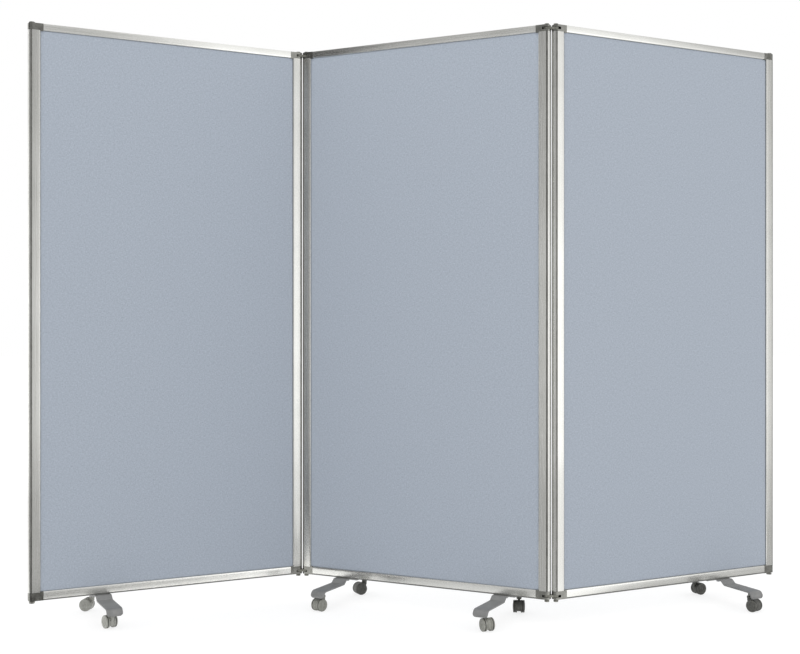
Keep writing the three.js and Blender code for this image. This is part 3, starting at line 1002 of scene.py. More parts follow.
@dataclass(frozen=True)
class StileSection:
    """Section of the upright extrusion, measured from the pin axis towards the cloth.

    Attributes:
        face_overhang: How far the flat face reaches back over the pin axis.
        face: Width of the face from the groove to the lip's band.
        lip_width: Width of that band beside the cloth.
        lip_drop: Depth of the lip's inner edge below the face.
        lip_round: Width of the rounding, within the band, that leads down to it.
        slot_half: Half width of the channel for the board.
    """

    nose_radius: float = 12.3 * MM
    half_thickness: float = 12.5 * MM
    face_overhang: float = 2 * MM
    groove_width: float = 5 * MM
    groove_depth: float = 6.5 * MM
    face: float = 19.5 * MM
    lip_width: float = 5.5 * MM
    lip_drop: float = 2.5 * MM
    lip_round: float = 3.2 * MM
    slot_half: float = 4.1 * MM
    slot_depth: float = 10.5 * MM
    edge: float = 0.45 * MM
    seal_height: float = 4.4 * MM
    seal_dome: float = 1.2 * MM
    seal_play: float = 0.05 * MM

    def seal(self) -> Array:
        """Outline of the seal on the groove's floor: as wide as the groove, with a domed top."""
        wide = self.groove_width - 2 * self.seal_play
        start = -self.face_overhang - self.groove_width + self.seal_play
        floor = self.half_thickness - self.groove_depth + self.seal_play
        centre = (start + wide / 2, floor + self.seal_height - self.seal_dome)
        dome = arc(centre, (wide / 2, self.seal_dome), 0, 180, 8)
        return np.concatenate([np.array([[start, floor], [start + wide, floor]]), dome])

    def outline(self) -> Array:
        """Closed outline: the nose's arc, the grooves, the faces and lips, and the channel.

        The upper half is listed from the nose to the channel and mirrored for the lower half. Corners
        get the small radius of an extrusion die, the samples of the nose and lips keep their curve.

        Returns:
            Array of shape (n, 2), with X from the pin axis and Y across the panel.
        """
        nose_end = -self.face_overhang - self.groove_width
        nose_angle = math.degrees(math.acos(nose_end / self.nose_radius))
        inner = self.face - self.face_overhang + self.lip_width
        lip_half = self.half_thickness - self.lip_drop
        groove_half = self.half_thickness - self.groove_depth
        nose = arc((0.0, 0.0), self.nose_radius, 180, nose_angle, 14)[1:]
        lip_centre = (inner - self.lip_round, lip_half)
        lip = arc(lip_centre, (self.lip_round, self.lip_drop), 90, 0, 8)
        groove = np.array(
            [
                [nose_end, groove_half],
                [-self.face_overhang, groove_half],
                [-self.face_overhang, self.half_thickness],
            ]
        )
        channel = np.array([[inner, self.slot_half], [inner - self.slot_depth, self.slot_half]])
        upper = np.concatenate([nose, groove, lip, channel])
        along_nose, along_lip = [0.0] * (len(nose) - 1), [0.0] * (len(lip) - 1)
        radii = [*along_nose, *[self.edge] * 4, *along_lip, self.edge, self.edge, 0.0]
        tip = np.array([[-self.nose_radius, 0.0]])
        corners = np.concatenate([tip, upper, mirrored(upper, 1)])
        return rounded(corners, np.array([0.0, *radii, *radii[::-1]]), 3)


@dataclass(frozen=True)
class RailSection:
    """Section of the horizontal extrusion: X is across the panel, Y runs down from the outer edge."""

    depth: float
    trim: float = 0.0
    half_thickness: float = 12.5 * MM
    outer_edge: float = 1.5 * MM
    lip_width: float = 5.5 * MM
    lip_drop: float = 2.5 * MM
    slot_half: float = 4.1 * MM
    slot_depth: float = 10.5 * MM
    edge: float = 0.45 * MM

    def outline(self) -> Array:
        """Closed outline: rounded outer edges, flat faces, a curved lip on each side and the channel.

        The trim is cut off the outer edge, where an edge strip takes its place.

        Returns:
            Array of shape (n, 2).
        """
        lip_centre = (self.half_thickness - self.lip_drop, self.lip_width - self.depth)
        lip = arc(lip_centre, (self.lip_drop, -self.lip_width), 0, 90, 8)
        corner = np.array([[self.half_thickness, -self.trim]])
        slot_floor = self.slot_depth - self.depth
        channel = np.array([[self.slot_half, -self.depth], [self.slot_half, slot_floor]])
        right = np.concatenate([corner, lip, channel])
        radii = [self.outer_edge, *[0.0] * (len(lip) - 1), self.edge, self.edge, 0.0]
        corners = np.concatenate([right, mirrored(right, 0)])
        return rounded(corners, np.array([*radii, *radii[::-1]]), 3)


@dataclass(frozen=True)
class PanelFrame:
    """Stiles, rails and corner caps of one panel.

    Attributes:
        left_free: True where the left end has no hinge, but a plug with a domed end.
        strip_play: Play between the edge strip and the bottom rail.
    """

    name: str
    layout: Layout
    left_free: bool
    stile: StileSection = StileSection()
    cap_edge: float = 0.7 * MM
    plug_radius: float = 9.0 * MM
    plug_height: float = 8.6 * MM
    plug_wall: float = 1.2 * MM
    plug_chamfer: float = 0.6 * MM
    strip_height: float = 3.8 * MM
    strip_half: float = 11.9 * MM
    strip_play: float = 0.05 * MM
    strip_lower_edge: float = 1.4 * MM
    strip_upper_edge: float = 0.2 * MM
    plug_steps: int = 40

    def build(self) -> None:
        """Makes the extrusions and caps and puts them on the panel's body."""
        for side in Side:
            self.make_stile(side)
        for level in Level:
            self.make_rail(level)
            for side in Side:
                self.make_cap(level, side)
        self.make_edge_strip()
        if self.left_free:
            self.make_plug_dome()

    def make_stile(self, side: Side) -> None:
        """One upright: its section carried straight up between the caps, and a seal in each groove,
        whose grey paints the groove's shade.

        Args:
            side: The panel's end.
        """
        bottom, top, gap = self.layout.bottom, self.layout.top, self.layout.seat_gap
        low, high = bottom.height + bottom.cap_depth + gap, top.height - top.cap_depth - gap
        turn = 0.0 if side is Side.LEFT else math.pi
        x = side.sign * self.layout.pin_spacing / 2
        place = self.layout.panel(self.name).within(x, turn=turn)
        node = f"{self.name}_stile_{side.value}"
        rings = carried(self.stile.outline(), low, high, axis=2)
        piece = lofted(f"{node}_extrusion", place.apply(rings))
        carry(piece, self.name, STILE_ALUMINIUM, node)
        for number, way in ((1, -1), (2, 1)):
            rings = carried(self.stile.seal() * np.array([1.0, way]), low, high, axis=2)
            seal = lofted(f"{node}_seal_{number}", place.apply(rings))
            carry(seal, self.name, GROOVE_SHADE_SEAL)

    def make_rail(self, level: Level) -> None:
        """One rail: its section carried straight along the panel between the caps.

        Args:
            level: The frame's edge.
        """
        edge = self.layout.edge(level)
        lower = level is Level.BOTTOM
        outline = RailSection(edge.rail_depth, self.strip_height if lower else 0.0).outline()
        rings = carried(outline, -self.layout.half_rail, self.layout.half_rail, axis=0)
        place = self.layout.panel(self.name).within(0.0, z=edge.height, flipped=lower)
        node = f"{self.name}_rail_{level.value}"
        piece = lofted(f"{node}_extrusion", place.apply(rings))
        carry(piece, self.name, RAIL_ALUMINIUM_LIT, node)

    def make_edge_strip(self) -> None:
        """The dark strip that closes the bottom rail below, as painted shade under the rail: a flat
        bar with rounded lower edges.
        """
        half, high = self.strip_half, self.strip_height - self.strip_play
        corners = np.array([[-half, 0.0], [half, 0.0], [half, high], [-half, high]])
        lower, upper = self.strip_lower_edge, self.strip_upper_edge
        outline = rounded(corners, np.array([lower, lower, upper, upper]), 4)
        rings = carried(outline, -self.layout.half_rail, self.layout.half_rail, axis=0)
        place = self.layout.panel(self.name).within(0.0, z=self.layout.bottom.height)
        piece = lofted(f"{self.name}_rail_bottom_edge_strip", place.apply(rings))
        carry(piece, self.name, UNDER_RAIL_SHADE_STRIP)

    def make_plug_dome(self) -> None:
        """The domed end of the plug under the free left end: a wall, then a quarter of an ellipse."""
        start, radius = self.layout.bottom.stub - self.plug_wall, self.plug_radius
        rise = self.plug_height / 2
        chamfer = self.plug_chamfer
        wall = np.array([[0.0, start], [radius - chamfer, start], [radius, start + chamfer]])
        dome = arc((0.0, self.plug_height - rise), (radius, rise), 0, 90, 10)
        rings = revolved(np.concatenate([wall, dome]), self.plug_steps)
        x = Side.LEFT.sign * self.layout.pin_spacing / 2
        bottom = self.layout.bottom.height
        place = self.layout.panel(self.name).within(x, z=bottom, flipped=True)
        piece = lofted(f"{self.name}_left_plug_dome", place.apply(rings), capped=False)
        carry(piece, self.name, CAP_PLASTIC)

    def make_cap(self, level: Level, side: Side) -> None:
        """One corner cap: the CAD cap with the soft edges of a moulding.

        Args:
            level: The frame's edge.
            side: The panel's end.
        """
        node = f"{self.name}_cap_{level.value}_{side.value}"
        piece = softened_copy(node, f"{node}_moulding", self.cap_edge)
        carry(piece, self.name, CAP_PLASTIC, node)


@dataclass(frozen=True)
class ClothPanel:
    """Foam board of one panel with a stretched cloth on each face.

    Attributes:
        name: Name of the panel.
        layout: Sizes of the screen.
        stile_inner: From the pin axis to the floor of the stile's channel.
        rail_slot: Depth of the rail's channel.
        clearance: Play of the board in the channels.
        core_half: Half of the foam's thickness in the channels.
        cloth_face: From the middle of the board to the cloth's face in the channels.
        cloth_thickness: Thickness of the cloth.
        rise: How far the padding stands up, in mm, for distances from the board's edge in mm.
        close_lines: Distances from the edge, in mm, at which grid lines run beside the lips.
        ripple: Height of the cloth's slight waves.
        ripple_waves: Waves of the ripple in radians to a metre, along the panel and up it.
        ripple_bends: Waves that bend those of the other direction, and by how many radians.
        ripple_from_edge: Distance from the edge over which the waves grow.
        set_in: How much further in the foam rises than the cloth.
        core_spans: Even spans of the foam's grid along the panel and up it.
        cloth_spans: Even spans of the cloth's.
    """

    name: str
    layout: Layout
    stile_inner: float = 12.5 * MM
    rail_slot: float = 10.5 * MM
    clearance: float = 0.5 * MM
    core_half: float = 3.0 * MM
    cloth_face: float = 3.75 * MM
    cloth_thickness: float = 0.6 * MM
    rise: Pairs = (
        (0.0, 0.0),
        (10.1, 0.15),
        (10.35, 4.2),
        (10.8, 4.6),
        (11.6, 4.85),
        (13.0, 5.0),
        (16.0, 5.15),
        (21.0, 5.2),
    )
    close_lines: tuple[float, ...] = (
        (0.0, 5.0, 10.1, 10.35, 10.8, 11.6, 13.0, 14.4, 16.0, 18.4, 21.0, 27.0, 36.0)
    )
    ripple: float = 0.12 * MM
    ripple_waves: tuple[float, float] = (21.0, 8.3)
    ripple_bends: Pairs = ((3.1, 1.3), (5.7, 0.9))
    ripple_from_edge: float = 80 * MM
    set_in: float = 0.8 * MM
    core_spans: tuple[int, int] = (8, 16)
    cloth_spans: tuple[int, int] = (60, 130)

    def extents(self) -> tuple[float, float, float]:
        """Half width of the board, and its lowest and highest height."""
        half = self.layout.pin_spacing / 2 - self.stile_inner - self.clearance
        bottom, top = self.layout.bottom, self.layout.top
        low = bottom.height + bottom.rail_depth - self.rail_slot + self.clearance
        high = top.height - top.rail_depth + self.rail_slot - self.clearance
        return half, low, high

    def build(self) -> None:
        """Makes the core and both cloths."""
        core = self.make_core()
        for face in Face:
            self.make_cloth(face)

    def grid(self, inset: float, columns: int, rows: int) -> tuple[Array, Array, Array]:
        """Points over the board, close together beside the lips and even between.

        Args:
            inset: Distance of the grid's edge from the board's.
            columns: Number of even spans along the panel.
            rows: Number of even spans up it.

        Returns:
            Each point's place along the panel, its height, and its distance from the board's edge.
        """
        half, low, high = self.extents()
        close = np.array(self.close_lines) * MM
        lines = []
        for start, end, spans in ((-half, half, columns), (low, high, rows)):
            first, last = start + inset, end - inset
            middle = np.linspace(first + close[-1], last - close[-1], spans + 1)
            edge = close[:-1]
            lines.append(np.concatenate([first + edge, middle, (last - edge)[::-1]]))
        x, z = np.meshgrid(*lines, indexing="xy")
        return x, z, np.minimum(half - np.abs(x), np.minimum(z - low, high - z))

    def risen(self, from_edge: Array) -> Array:
        """How far the padding stands up, interpolated over the distance from the board's edge."""
        return MM * np.interp(from_edge / MM, *np.array(self.rise).T)

    def make_core(self) -> bpy.types.Object:
        """The foam board: thin in the channels, and padded up to the cloth between them.

        Its face follows the cloth's rise, set further in, which leaves room for the cloth's own
        thickness.

        Returns:
            The core.
        """
        x, z, from_edge = self.grid(self.cloth_thickness, *self.core_spans)
        face = self.core_half + self.risen(from_edge - self.set_in)
        front = np.stack([x, -face, z], axis=-1)
        rear = np.stack([x, face, z], axis=-1)[:, ::-1]
        rings = self.layout.panel(self.name).apply(np.concatenate([front, rear], axis=1))
        piece = lofted(f"{self.name}_board_core", rings)
        carry(piece, self.name, CORE_FOAM, f"{self.name}_board")
        return piece

    def make_cloth(self, face: Face) -> None:
        """One stretched cloth on a grid of width and height.

        Its distance from the centre plane is the face plus the padding's rise and two crossed cosine
        ripples. The cloth comes up steeply beside the lips, as it does round a padded board, and is
        nearly flat elsewhere.

        Args:
            face: The board's face.
        """
        x, z, from_edge = self.grid(0.0, *self.cloth_spans)
        (by_z, bend_x), (by_x, bend_z) = self.ripple_bends
        along = np.cos(x * self.ripple_waves[0] + bend_x * np.sin(z * by_z))
        upwards = np.cos(z * self.ripple_waves[1] + bend_z * np.sin(x * by_x))
        grown = np.clip(from_edge / self.ripple_from_edge, 0, 1)
        offset = self.cloth_face + self.risen(from_edge) + self.ripple * along * upwards * grown
        side, sign = face.value
        points = self.layout.panel(self.name).apply(np.stack([x, sign * offset, z], axis=-1))
        quads = grid_quads(*x.shape)[2]
        if sign > 0:
            quads = quads[:, ::-1]
        flat = np.stack([x, z], axis=-1).reshape(-1, 2)
        mesh = meshed(f"{self.name}_cloth_{side}", points, quads.tolist(), flat[quads.ravel()])
        mesh.polygons.foreach_set("use_smooth", np.ones(len(quads), dtype=bool))
        piece = linked(mesh.name, mesh)
        solid = piece.modifiers.new("cloth thickness", "SOLIDIFY")
        solid.thickness = self.cloth_thickness
        solid.offset = -1.0
        carry(piece, self.name, CLOTH, f"{self.name}_board")


@dataclass(frozen=True)
class HingePins:
    """The four pins of one hinge, each on the panel at its side. The links are the CAD's own.

    Attributes:
        x: Place of the hinge's middle.
        y: Its other coordinate.
        panels: The panel at each side.
        pin_shortfall: How far a shank ends before the cap does.
        socket_taper: Radius of the socket's floor for its mouth's.
    """

    name: str
    x: float
    y: float
    panels: dict[Side, str]
    layout: Layout
    pin_radius: float = 4 * MM
    pin_shortfall: float = 0.6 * MM
    pin_chamfer: float = 0.5 * MM
    head_radius: float = 7.2 * MM
    head_chamfer: float = 0.3 * MM
    stub_radius: float = 4.8 * MM
    socket_radius: float = 2.4 * MM
    socket_depth: float = 1.6 * MM
    socket_taper: float = 0.9
    dome: float = 1.4 * MM
    steps: int = 32

    def build(self) -> None:
        """Makes the pins and dresses the links."""
        for level in Level:
            PIN_STEEL.dress(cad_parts[f"{self.name}_link_{level.value}"])
            for side in Side:
                self.make_pin(level, side)

    def profile(self, edge: FrameEdge) -> Array:
        """Profile of a pin as (radius, height): shank, stub, head with a domed edge and a socket.

        Args:
            edge: The frame's edge that the pin goes into.

        Returns:
            Array of shape (n, 2), from the shank's end upwards.
        """
        seat = self.layout.seat_gap
        bottom = max(edge.stub, seat)
        top = bottom + edge.head
        low = self.pin_shortfall - edge.cap_depth
        pin, cut, bevel = self.pin_radius, self.pin_chamfer, self.head_chamfer
        shank = [[0.0, low], [pin - cut, low], [pin, low + cut], [pin, seat]]
        if edge.stub > 0:
            shank += [[self.stub_radius, seat], [self.stub_radius, bottom]]
        rim = [[self.head_radius - bevel, bottom], [self.head_radius, bottom + bevel]]
        dome = arc((self.head_radius - self.dome, top - self.dome), self.dome, 0, 90, 6)
        floor = top - self.socket_depth
        socket = [
            [self.socket_radius + bevel, top],
            [self.socket_radius, top - bevel],
            [self.socket_radius * self.socket_taper, floor],
            [0.0, floor],
        ]
        return np.concatenate([np.array(shank + rim), dome, np.array(socket)])

    def make_pin(self, level: Level, side: Side) -> None:
        """One pin, revolved about its axis.

        Args:
            level: The frame's edge.
            side: The hinge's side.
        """
        edge, panel = self.layout.edge(level), self.panels[side]
        x = self.x + side.sign * self.layout.link_pitch / 2
        turn = self.layout.panel(panel).turn
        place = Place(turn, x, self.y, edge.height, flipped=level is Level.BOTTOM)
        node = f"{self.name}_pin_{level.value}_{side.value}"
        rings = place.apply(revolved(self.profile(edge), self.steps))
        carry(lofted(f"{node}_turned", rings, capped=False), panel, PIN_STEEL, node)


@dataclass(frozen=True)
class StrapFoot:
    """A bent strap under a panel, its castor stems and its two bolts.

    Attributes:
        collar: Rows of the stem's collar: beyond the shank's radius, and up from the strap's
            underside.
        stem_fall: Share of the taper by which the strap has fallen where the stems are.
        bolt_rows: Heights in mm of the bolt's and washer's rings from the strap's underside.
        narrowing: Share of the corner's circle that the nose follows, so that its end stays wide.
        point_share: Radius of the bolt's lower face for the radius of its chamfer.
    """

    name: str
    body: str
    place: Place
    layout: Layout
    width: float = 48 * MM
    thickness: float = 4.5 * MM
    reach: float = 165 * MM
    seat: float = 26 * MM
    step_run: float = 14 * MM
    step_drop: float = 11.5 * MM
    taper: float = 1.6 * MM
    nose_bend: float = 17 * MM
    nose_low: float = 43.5 * MM
    nose_corner: float = 9 * MM
    bend: float = 7 * MM
    edge: float = 0.9 * MM
    stem_inset: float = 34 * MM
    stem_radius: float = 5 * MM
    stem_chamfer: float = 0.4 * MM
    stem_fall: float = 0.6
    collar: Pairs = ((0.0, -3.2 * MM), (2.6 * MM, -2.8 * MM), (3 * MM, -2.2 * MM), (3 * MM, 0.4 * MM))
    boss_top: float = 46.5 * MM
    bolt_spacing: float = 26 * MM
    bolt_turn: float = 0.3
    bolt_half: float = 5.0 * MM
    bolt_circle: float = 5.25 * MM
    point_share: float = 0.93
    washer_radius: float = 7.5 * MM
    washer_chamfer: float = 0.3 * MM
    bolt_rows: tuple[float, ...] = (-5.2, -5.2, -4.8, -4.2, -1.4, -1.4, -1.1, 0.1, 0.1)
    bolt_steps: int = 48
    bolt_sharp: float = 25.0
    stem_steps: int = 28
    strap_sharp: float = 40.0
    narrowing: float = 0.98

    @property
    def top(self) -> float:
        """Height of the seat's upper face."""
        return self.layout.bottom.height - self.layout.seat_gap

    def castor(self, face: Face, turn: float = 0.0) -> Place:
        """The place of a stem and its castor, turned by an angle in radians."""
        return self.place.within(0.0, face.value[1] * (self.reach - self.stem_inset), turn=turn)

    def build(self) -> None:
        """Makes the strap with its stems, and the bolts."""
        self.make_strap()
        for face in Face:
            self.make_stem(face)
        for number, sign in ((1, -1), (2, 1)):
            self.make_bolt(number, sign)

    def upper_line(self) -> Array:
        """Half of the strap's upper face from the middle to the nose's end, as (run, height).

        Flat seat, an arc down and an arc back to level for the joggle, a slight fall, a quarter
        circle over the nose, and straight down to its end with samples by a sine.

        Returns:
            Array of shape (n, 2).
        """
        slope = math.degrees(math.atan2(self.step_drop, self.step_run))
        cut = self.bend * math.tan(math.radians(slope / 2))
        low = self.top - self.step_drop
        first = arc((self.seat - cut, self.top - self.bend), self.bend, 90, 90 - slope, 8)
        foot = (self.seat + self.step_run + cut, low + self.bend)
        second = arc(foot, self.bend, -90 - slope, -90, 8)
        centre = (self.reach - self.nose_bend, low - self.taper - self.nose_bend)
        nose = arc(centre, self.nose_bend, 90, 0, 16)
        span = np.linspace(second[-1], nose[0], 10)[1:-1]
        fall = (nose[-1, 1] - self.nose_low) * np.sin(np.radians(np.linspace(0, 90, 9)))[1:]
        tip = np.stack([np.full(len(fall), self.reach), nose[-1, 1] - fall], axis=-1)
        return np.concatenate([np.array([[0.0, self.top]]), first, second, span, nose, tip])

    def make_strap(self) -> None:
        """The strap: a rounded rectangle carried along the bent line, narrowed at the nose's corners.

        A section's half width falls by corner radius times one minus the root of one minus the square
        of its share of the corner, and the thickness lies along the line's normal.
        """
        half_line = self.upper_line()
        line = np.concatenate([mirrored(half_line, 0)[:-1], half_line])
        inward = across(np.gradient(line, axis=0))
        half, thick = self.width / 2, self.thickness
        corners = np.array([[-half, 0.0], [half, 0.0], [half, thick], [-half, thick]])
        x, depth = rounded(corners, self.edge, 4).T[:, None]
        share = (self.nose_low + self.nose_corner - line[:, 1:]) / self.nose_corner
        share = np.clip(share, 0, 1)
        narrow = self.nose_corner * (1 - np.sqrt(1 - share**2 * self.narrowing))
        y = line[:, :1] + inward[:, :1] * depth
        z = line[:, 1:] + inward[:, 1:] * depth
        rings = np.stack([x - np.sign(x) * narrow, y, z], axis=-1)
        piece = lofted(f"{self.name}_strap", self.place.apply(rings), sharp=self.strap_sharp)
        carry(piece, self.body, FOOT_PAINT, self.name)

    def make_stem(self, face: Face) -> None:
        """The stem of one castor: a plain shank with a collar, from the strap down to the boss.

        Args:
            face: The side of the screen that the castor is on.
        """
        low = self.boss_top + self.layout.seat_gap
        high = self.top - self.step_drop - self.thickness - self.taper * self.stem_fall
        radius, cut = self.stem_radius, self.stem_chamfer
        shank = np.array([[0.0, low], [radius - cut, low], [radius, low + cut]])
        collar = np.array(self.collar) + np.array([radius, high])
        profile = np.concatenate([shank, collar, collar[-1:] * np.array([0.0, 1.0])])
        name = f"{self.name}_{face.value[0]}_stem"
        rings = self.castor(face).apply(revolved(profile, self.stem_steps))
        piece = lofted(name, rings, capped=False)
        carry(piece, self.body, PIN_STEEL)

    def make_bolt(self, number: int, sign: int) -> None:
        """A hexagon bolt with its washer under the seat.

        The hexagon's radius for each direction is the across-flats half width over the cosine of the
        angle from the nearest flat, and the chamfer cuts its corners to a circle at the lower end.

        Args:
            number: 1 or 2.
            sign: Side of the strap's middle.
        """
        angle = np.linspace(0, 2 * math.pi, self.bolt_steps, endpoint=False)
        sixth = math.pi / 3
        hexagon = self.bolt_half / np.cos((angle + sixth / 2) % sixth - sixth / 2)
        point = np.minimum(hexagon, self.bolt_circle)
        washer = np.full(len(angle), self.washer_radius)
        bevel = washer - self.washer_chamfer
        nothing = np.zeros(len(angle))
        tip = point * self.point_share
        bolt, disc = [nothing, tip, point, hexagon, hexagon], [bevel, washer, washer, nothing]
        radii = np.stack(bolt + disc)
        heights = self.top - self.thickness + np.array(self.bolt_rows)[:, None] * MM
        z = np.broadcast_to(heights, radii.shape)
        rings = np.stack([radii * np.cos(angle), radii * np.sin(angle), z], axis=-1)
        place = self.place.within(sign * self.bolt_spacing / 2, turn=self.bolt_turn * sign)
        name = f"{self.name}_bolt_{number}"
        piece = lofted(name, place.apply(rings), capped=False, sharp=self.bolt_sharp)
        carry(piece, self.body, BOLT_STEEL)


@dataclass(frozen=True)
class TwinCastor:
    """A castor under a strap: web, neck, boss and hood, and a pair of wheels on one axle.

    Attributes:
        face_steps: Rows of a wheel's face: radius, and depth below its outermost plane, in mm. They
            are the ring's step, the slope up to the hub, the hub's recess and the axle's cap.
        bore_rows: Rows of the boss's upper end: radius, and height from its top.
        hood_ends: Angles in degrees from the trailing side between which the hood runs.
    """

    name: str
    place: Place
    painted_shade: PaintedShade
    trail: float = 16.5 * MM
    wheel_radius: float = 19.5 * MM
    wheel_outer: float = 19 * MM
    wheel_inner: float = 5.9 * MM
    rim_round: float = 3.0 * MM
    groove_start: float = 11.2 * MM
    groove_width: float = 2.4 * MM
    groove_depth: float = 1.5 * MM
    groove_slope: float = 0.2 * MM
    groove_slack: float = 0.5 * MM
    face_crown: float = 1.0 * MM
    face_steps: Pairs = (
        (12.4, 0.9),
        (12.2, 1.25),
        (11.6, 1.25),
        (11.4, 0.5),
        (8.4, 0.0),
        (8.0, 0.2),
        (7.5, 1.2),
        (3.2, 1.2),
        (3.0, 0.7),
        (2.6, 0.5),
        (0.0, 0.5),
    )
    tread_chamfer: float = 1.2 * MM
    tread_break: tuple[float, float] = (0.2 * MM, 0.8 * MM)
    cover_radius: float = 15.5 * MM
    cover_play: float = 0.3 * MM
    cover_edge: float = 0.7 * MM
    cover_sunk: float = 0.05 * MM
    hood_radius: float = 19.3 * MM
    hood_depth: float = 3.0 * MM
    hood_clear: float = 0.25 * MM
    plate_edge: float = 0.8 * MM
    web_half: float = 3.6 * MM
    web_radius: float = 18 * MM
    web_bottom: float = 8 * MM
    neck_half: float = 7 * MM
    neck_foot: float = 33 * MM
    neck_blends: tuple[float, ...] = (2 * MM, 1 * MM, 1 * MM, 3 * MM)
    boss_radius: float = 8.5 * MM
    boss_bottom: float = 40 * MM
    boss_top: float = 46.5 * MM
    boss_sunk: float = 1.5 * MM
    boss_waist: float = 2 * MM
    boss_lower_round: float = 1.2 * MM
    boss_upper_round: float = 1 * MM
    bore_rows: Pairs = ((5.6 * MM, 0.0), (5.4 * MM, -0.3 * MM), (0.0, -0.3 * MM))
    hood_ends: tuple[float, float] = (-40.0, 220.0)
    wheel_steps: int = 48
    cover_steps: int = 40
    boss_steps: int = 32
    wheel_sharp: float = 28.0

    @property
    def axle(self) -> tuple[float, float]:
        """Trail and height of the axle."""
        return (self.trail, self.wheel_radius)

    def build(self) -> None:
        """Makes the body with its boss and hood, and the wheels with their covers."""
        self.make_body()
        for side, sign in (("left", 1), ("right", -1)):
            self.make_wheel(side, sign)
            self.make_hub_cover(side, sign)

    def web_outline(self) -> Array:
        """Outline of the web: a circle round the axle, cut flat below and run out to the neck."""
        cut = math.degrees(math.asin((self.wheel_radius - self.web_bottom) / self.web_radius))
        lower = arc(self.axle, self.web_radius, -180, cut - 180, 12)
        upper = arc(self.axle, self.web_radius, -cut, 90, 30)
        half, shoulder = self.neck_half, self.boss_top - self.boss_upper_round
        neck = [[half, self.boss_bottom], [half, shoulder]]
        neck += [[-half, shoulder], [-half, self.neck_foot]]
        corners = np.concatenate([lower, upper, np.array(neck)])
        radii = np.concatenate([np.zeros(len(corners) - len(neck)), self.neck_blends])
        outline = rounded(corners, radii, 3)
        spans = np.linalg.norm(np.roll(outline, -1, axis=0) - outline, axis=1)
        return outline[spans > NEEDLE]

    def hood_outline(self) -> Array:
        """Outline of the hood: a band round the web, open below, nearly as high as the wheels."""
        first, last = self.hood_ends
        outer = arc(self.axle, self.hood_radius, first, last, 48)
        inner = arc(self.axle, self.hood_radius - self.hood_depth, last, first, 48)
        return np.concatenate([outer, inner])

    def boss_profile(self) -> Array:
        """Half section of the boss as (radius, height), from its foot up to the bore."""
        foot, waist = self.boss_bottom - self.boss_sunk, self.boss_radius - self.boss_waist
        low, high = self.boss_lower_round, self.boss_upper_round
        return np.concatenate(
            [
                np.array([[0.0, foot], [waist, foot]]),
                arc((self.boss_radius - low, self.boss_bottom + low), low, -60, 0, 4),
                arc((self.boss_radius - high, self.boss_top - high), high, 0, 90, 5),
                np.array(self.bore_rows) + np.array([0.0, self.boss_top]),
            ]
        )

    def make_body(self) -> None:
        """The moulding: the web and the hood as plates with rounded edges, and the revolved boss."""
        body = f"{self.name}_castor"
        web = plate(self.web_outline(), self.web_half, self.plate_edge)
        boss = revolved(self.boss_profile(), self.boss_steps)
        hood = plate(self.hood_outline(), self.wheel_inner - self.hood_clear, self.plate_edge)
        for part, rings in (("moulding", web), ("boss", boss), ("hood", hood)):
            piece = lofted(f"{body}_{part}", self.place.apply(rings), capped=part != "boss")
            node = body if part == "moulding" else None
            carry(piece, body, self.painted_shade.value, node)

    def on_axle(self, profile: Array, sign: int, steps: int) -> Array:
        """Rings of a solid of revolution about the axle.

        Args:
            profile: Points of (radius, distance from the castor's middle), shape (n, 2).
            sign: 1 for the left wheel and -1 for the right one.
            steps: Number of spans round the axle.

        Returns:
            Array of shape (n, steps, 3).
        """
        x, z, y = np.moveaxis(revolved(profile, steps), -1, 0)
        turned = np.stack([x, sign * y, z], axis=-1)
        return self.place.apply(turned + np.array([self.trail, 0.0, self.wheel_radius]))

    def disc_profile(self) -> Array:
        """Half section of a wheel as (radius, distance from the middle), from its inner face outwards.

        Inner face, tread, the groove behind the disc, a quarter circle over the shoulder, and the
        steps of the face.
        """
        radius, inner, chamfer = self.wheel_radius, self.wheel_inner, self.tread_chamfer
        floor, slope = radius - self.groove_depth, self.groove_slope
        start, end = self.groove_start, self.groove_start + self.groove_width
        tread = np.array(
            [
                [0.0, inner],
                [radius - chamfer, inner],
                [radius - self.tread_break[0], inner + self.tread_break[1]],
                [radius, inner + chamfer],
                [radius, start],
                [floor, start + slope],
                [floor, end - slope],
                [radius, end],
            ]
        )
        shoulder = self.wheel_outer - self.face_crown - self.rim_round
        rim = arc((radius - self.rim_round, shoulder), self.rim_round, 0, 80, 10)
        steps = np.array([0.0, self.wheel_outer]) + np.array(self.face_steps) * (MM, -MM)
        return np.concatenate([tread, rim, steps])

    def make_wheel(self, side: str, sign: int) -> None:
        """One wheel, revolved about the axle, with the groove behind its disc painted near-black as
        shade.

        Args:
            side: left or right.
            sign: 1 for the left wheel and -1 for the right one.
        """
        body = f"{self.name}_wheels"
        rings = self.on_axle(self.disc_profile(), sign, self.wheel_steps)
        piece = lofted(f"{self.name}_wheel_{side}", rings, capped=False, sharp=self.wheel_sharp)
        carry(piece, body, self.painted_shade.value, body)
        piece.data.materials.append(HUB_AND_GROOVE_SHADE.material())
        self.paint_groove_shade(piece.data)

    def make_hub_cover(self, side: str, sign: int) -> None:
        """The near-black cover on a wheel's inner face, which nearly closes the gap to the web and
        paints that gap's shade.

        Args:
            side: left or right.
            sign: 1 for the left wheel and -1 for the right one.
        """
        near, far = self.web_half + self.cover_play, self.wheel_inner - self.cover_sunk
        radius, edge = self.cover_radius, self.cover_edge
        rim = arc((radius - edge, near + edge), edge, -90, 0, 5)
        inside, outside = np.array([[0.0, near]]), np.array([[radius, far], [0.0, far]])
        rings = self.on_axle(np.concatenate([inside, rim, outside]), sign, self.cover_steps)
        name = f"{self.name}_wheel_{side}_hub_cover"
        piece = lofted(name, rings, capped=False, sharp=self.wheel_sharp)
        carry(piece, f"{self.name}_wheels", HUB_AND_GROOVE_SHADE)

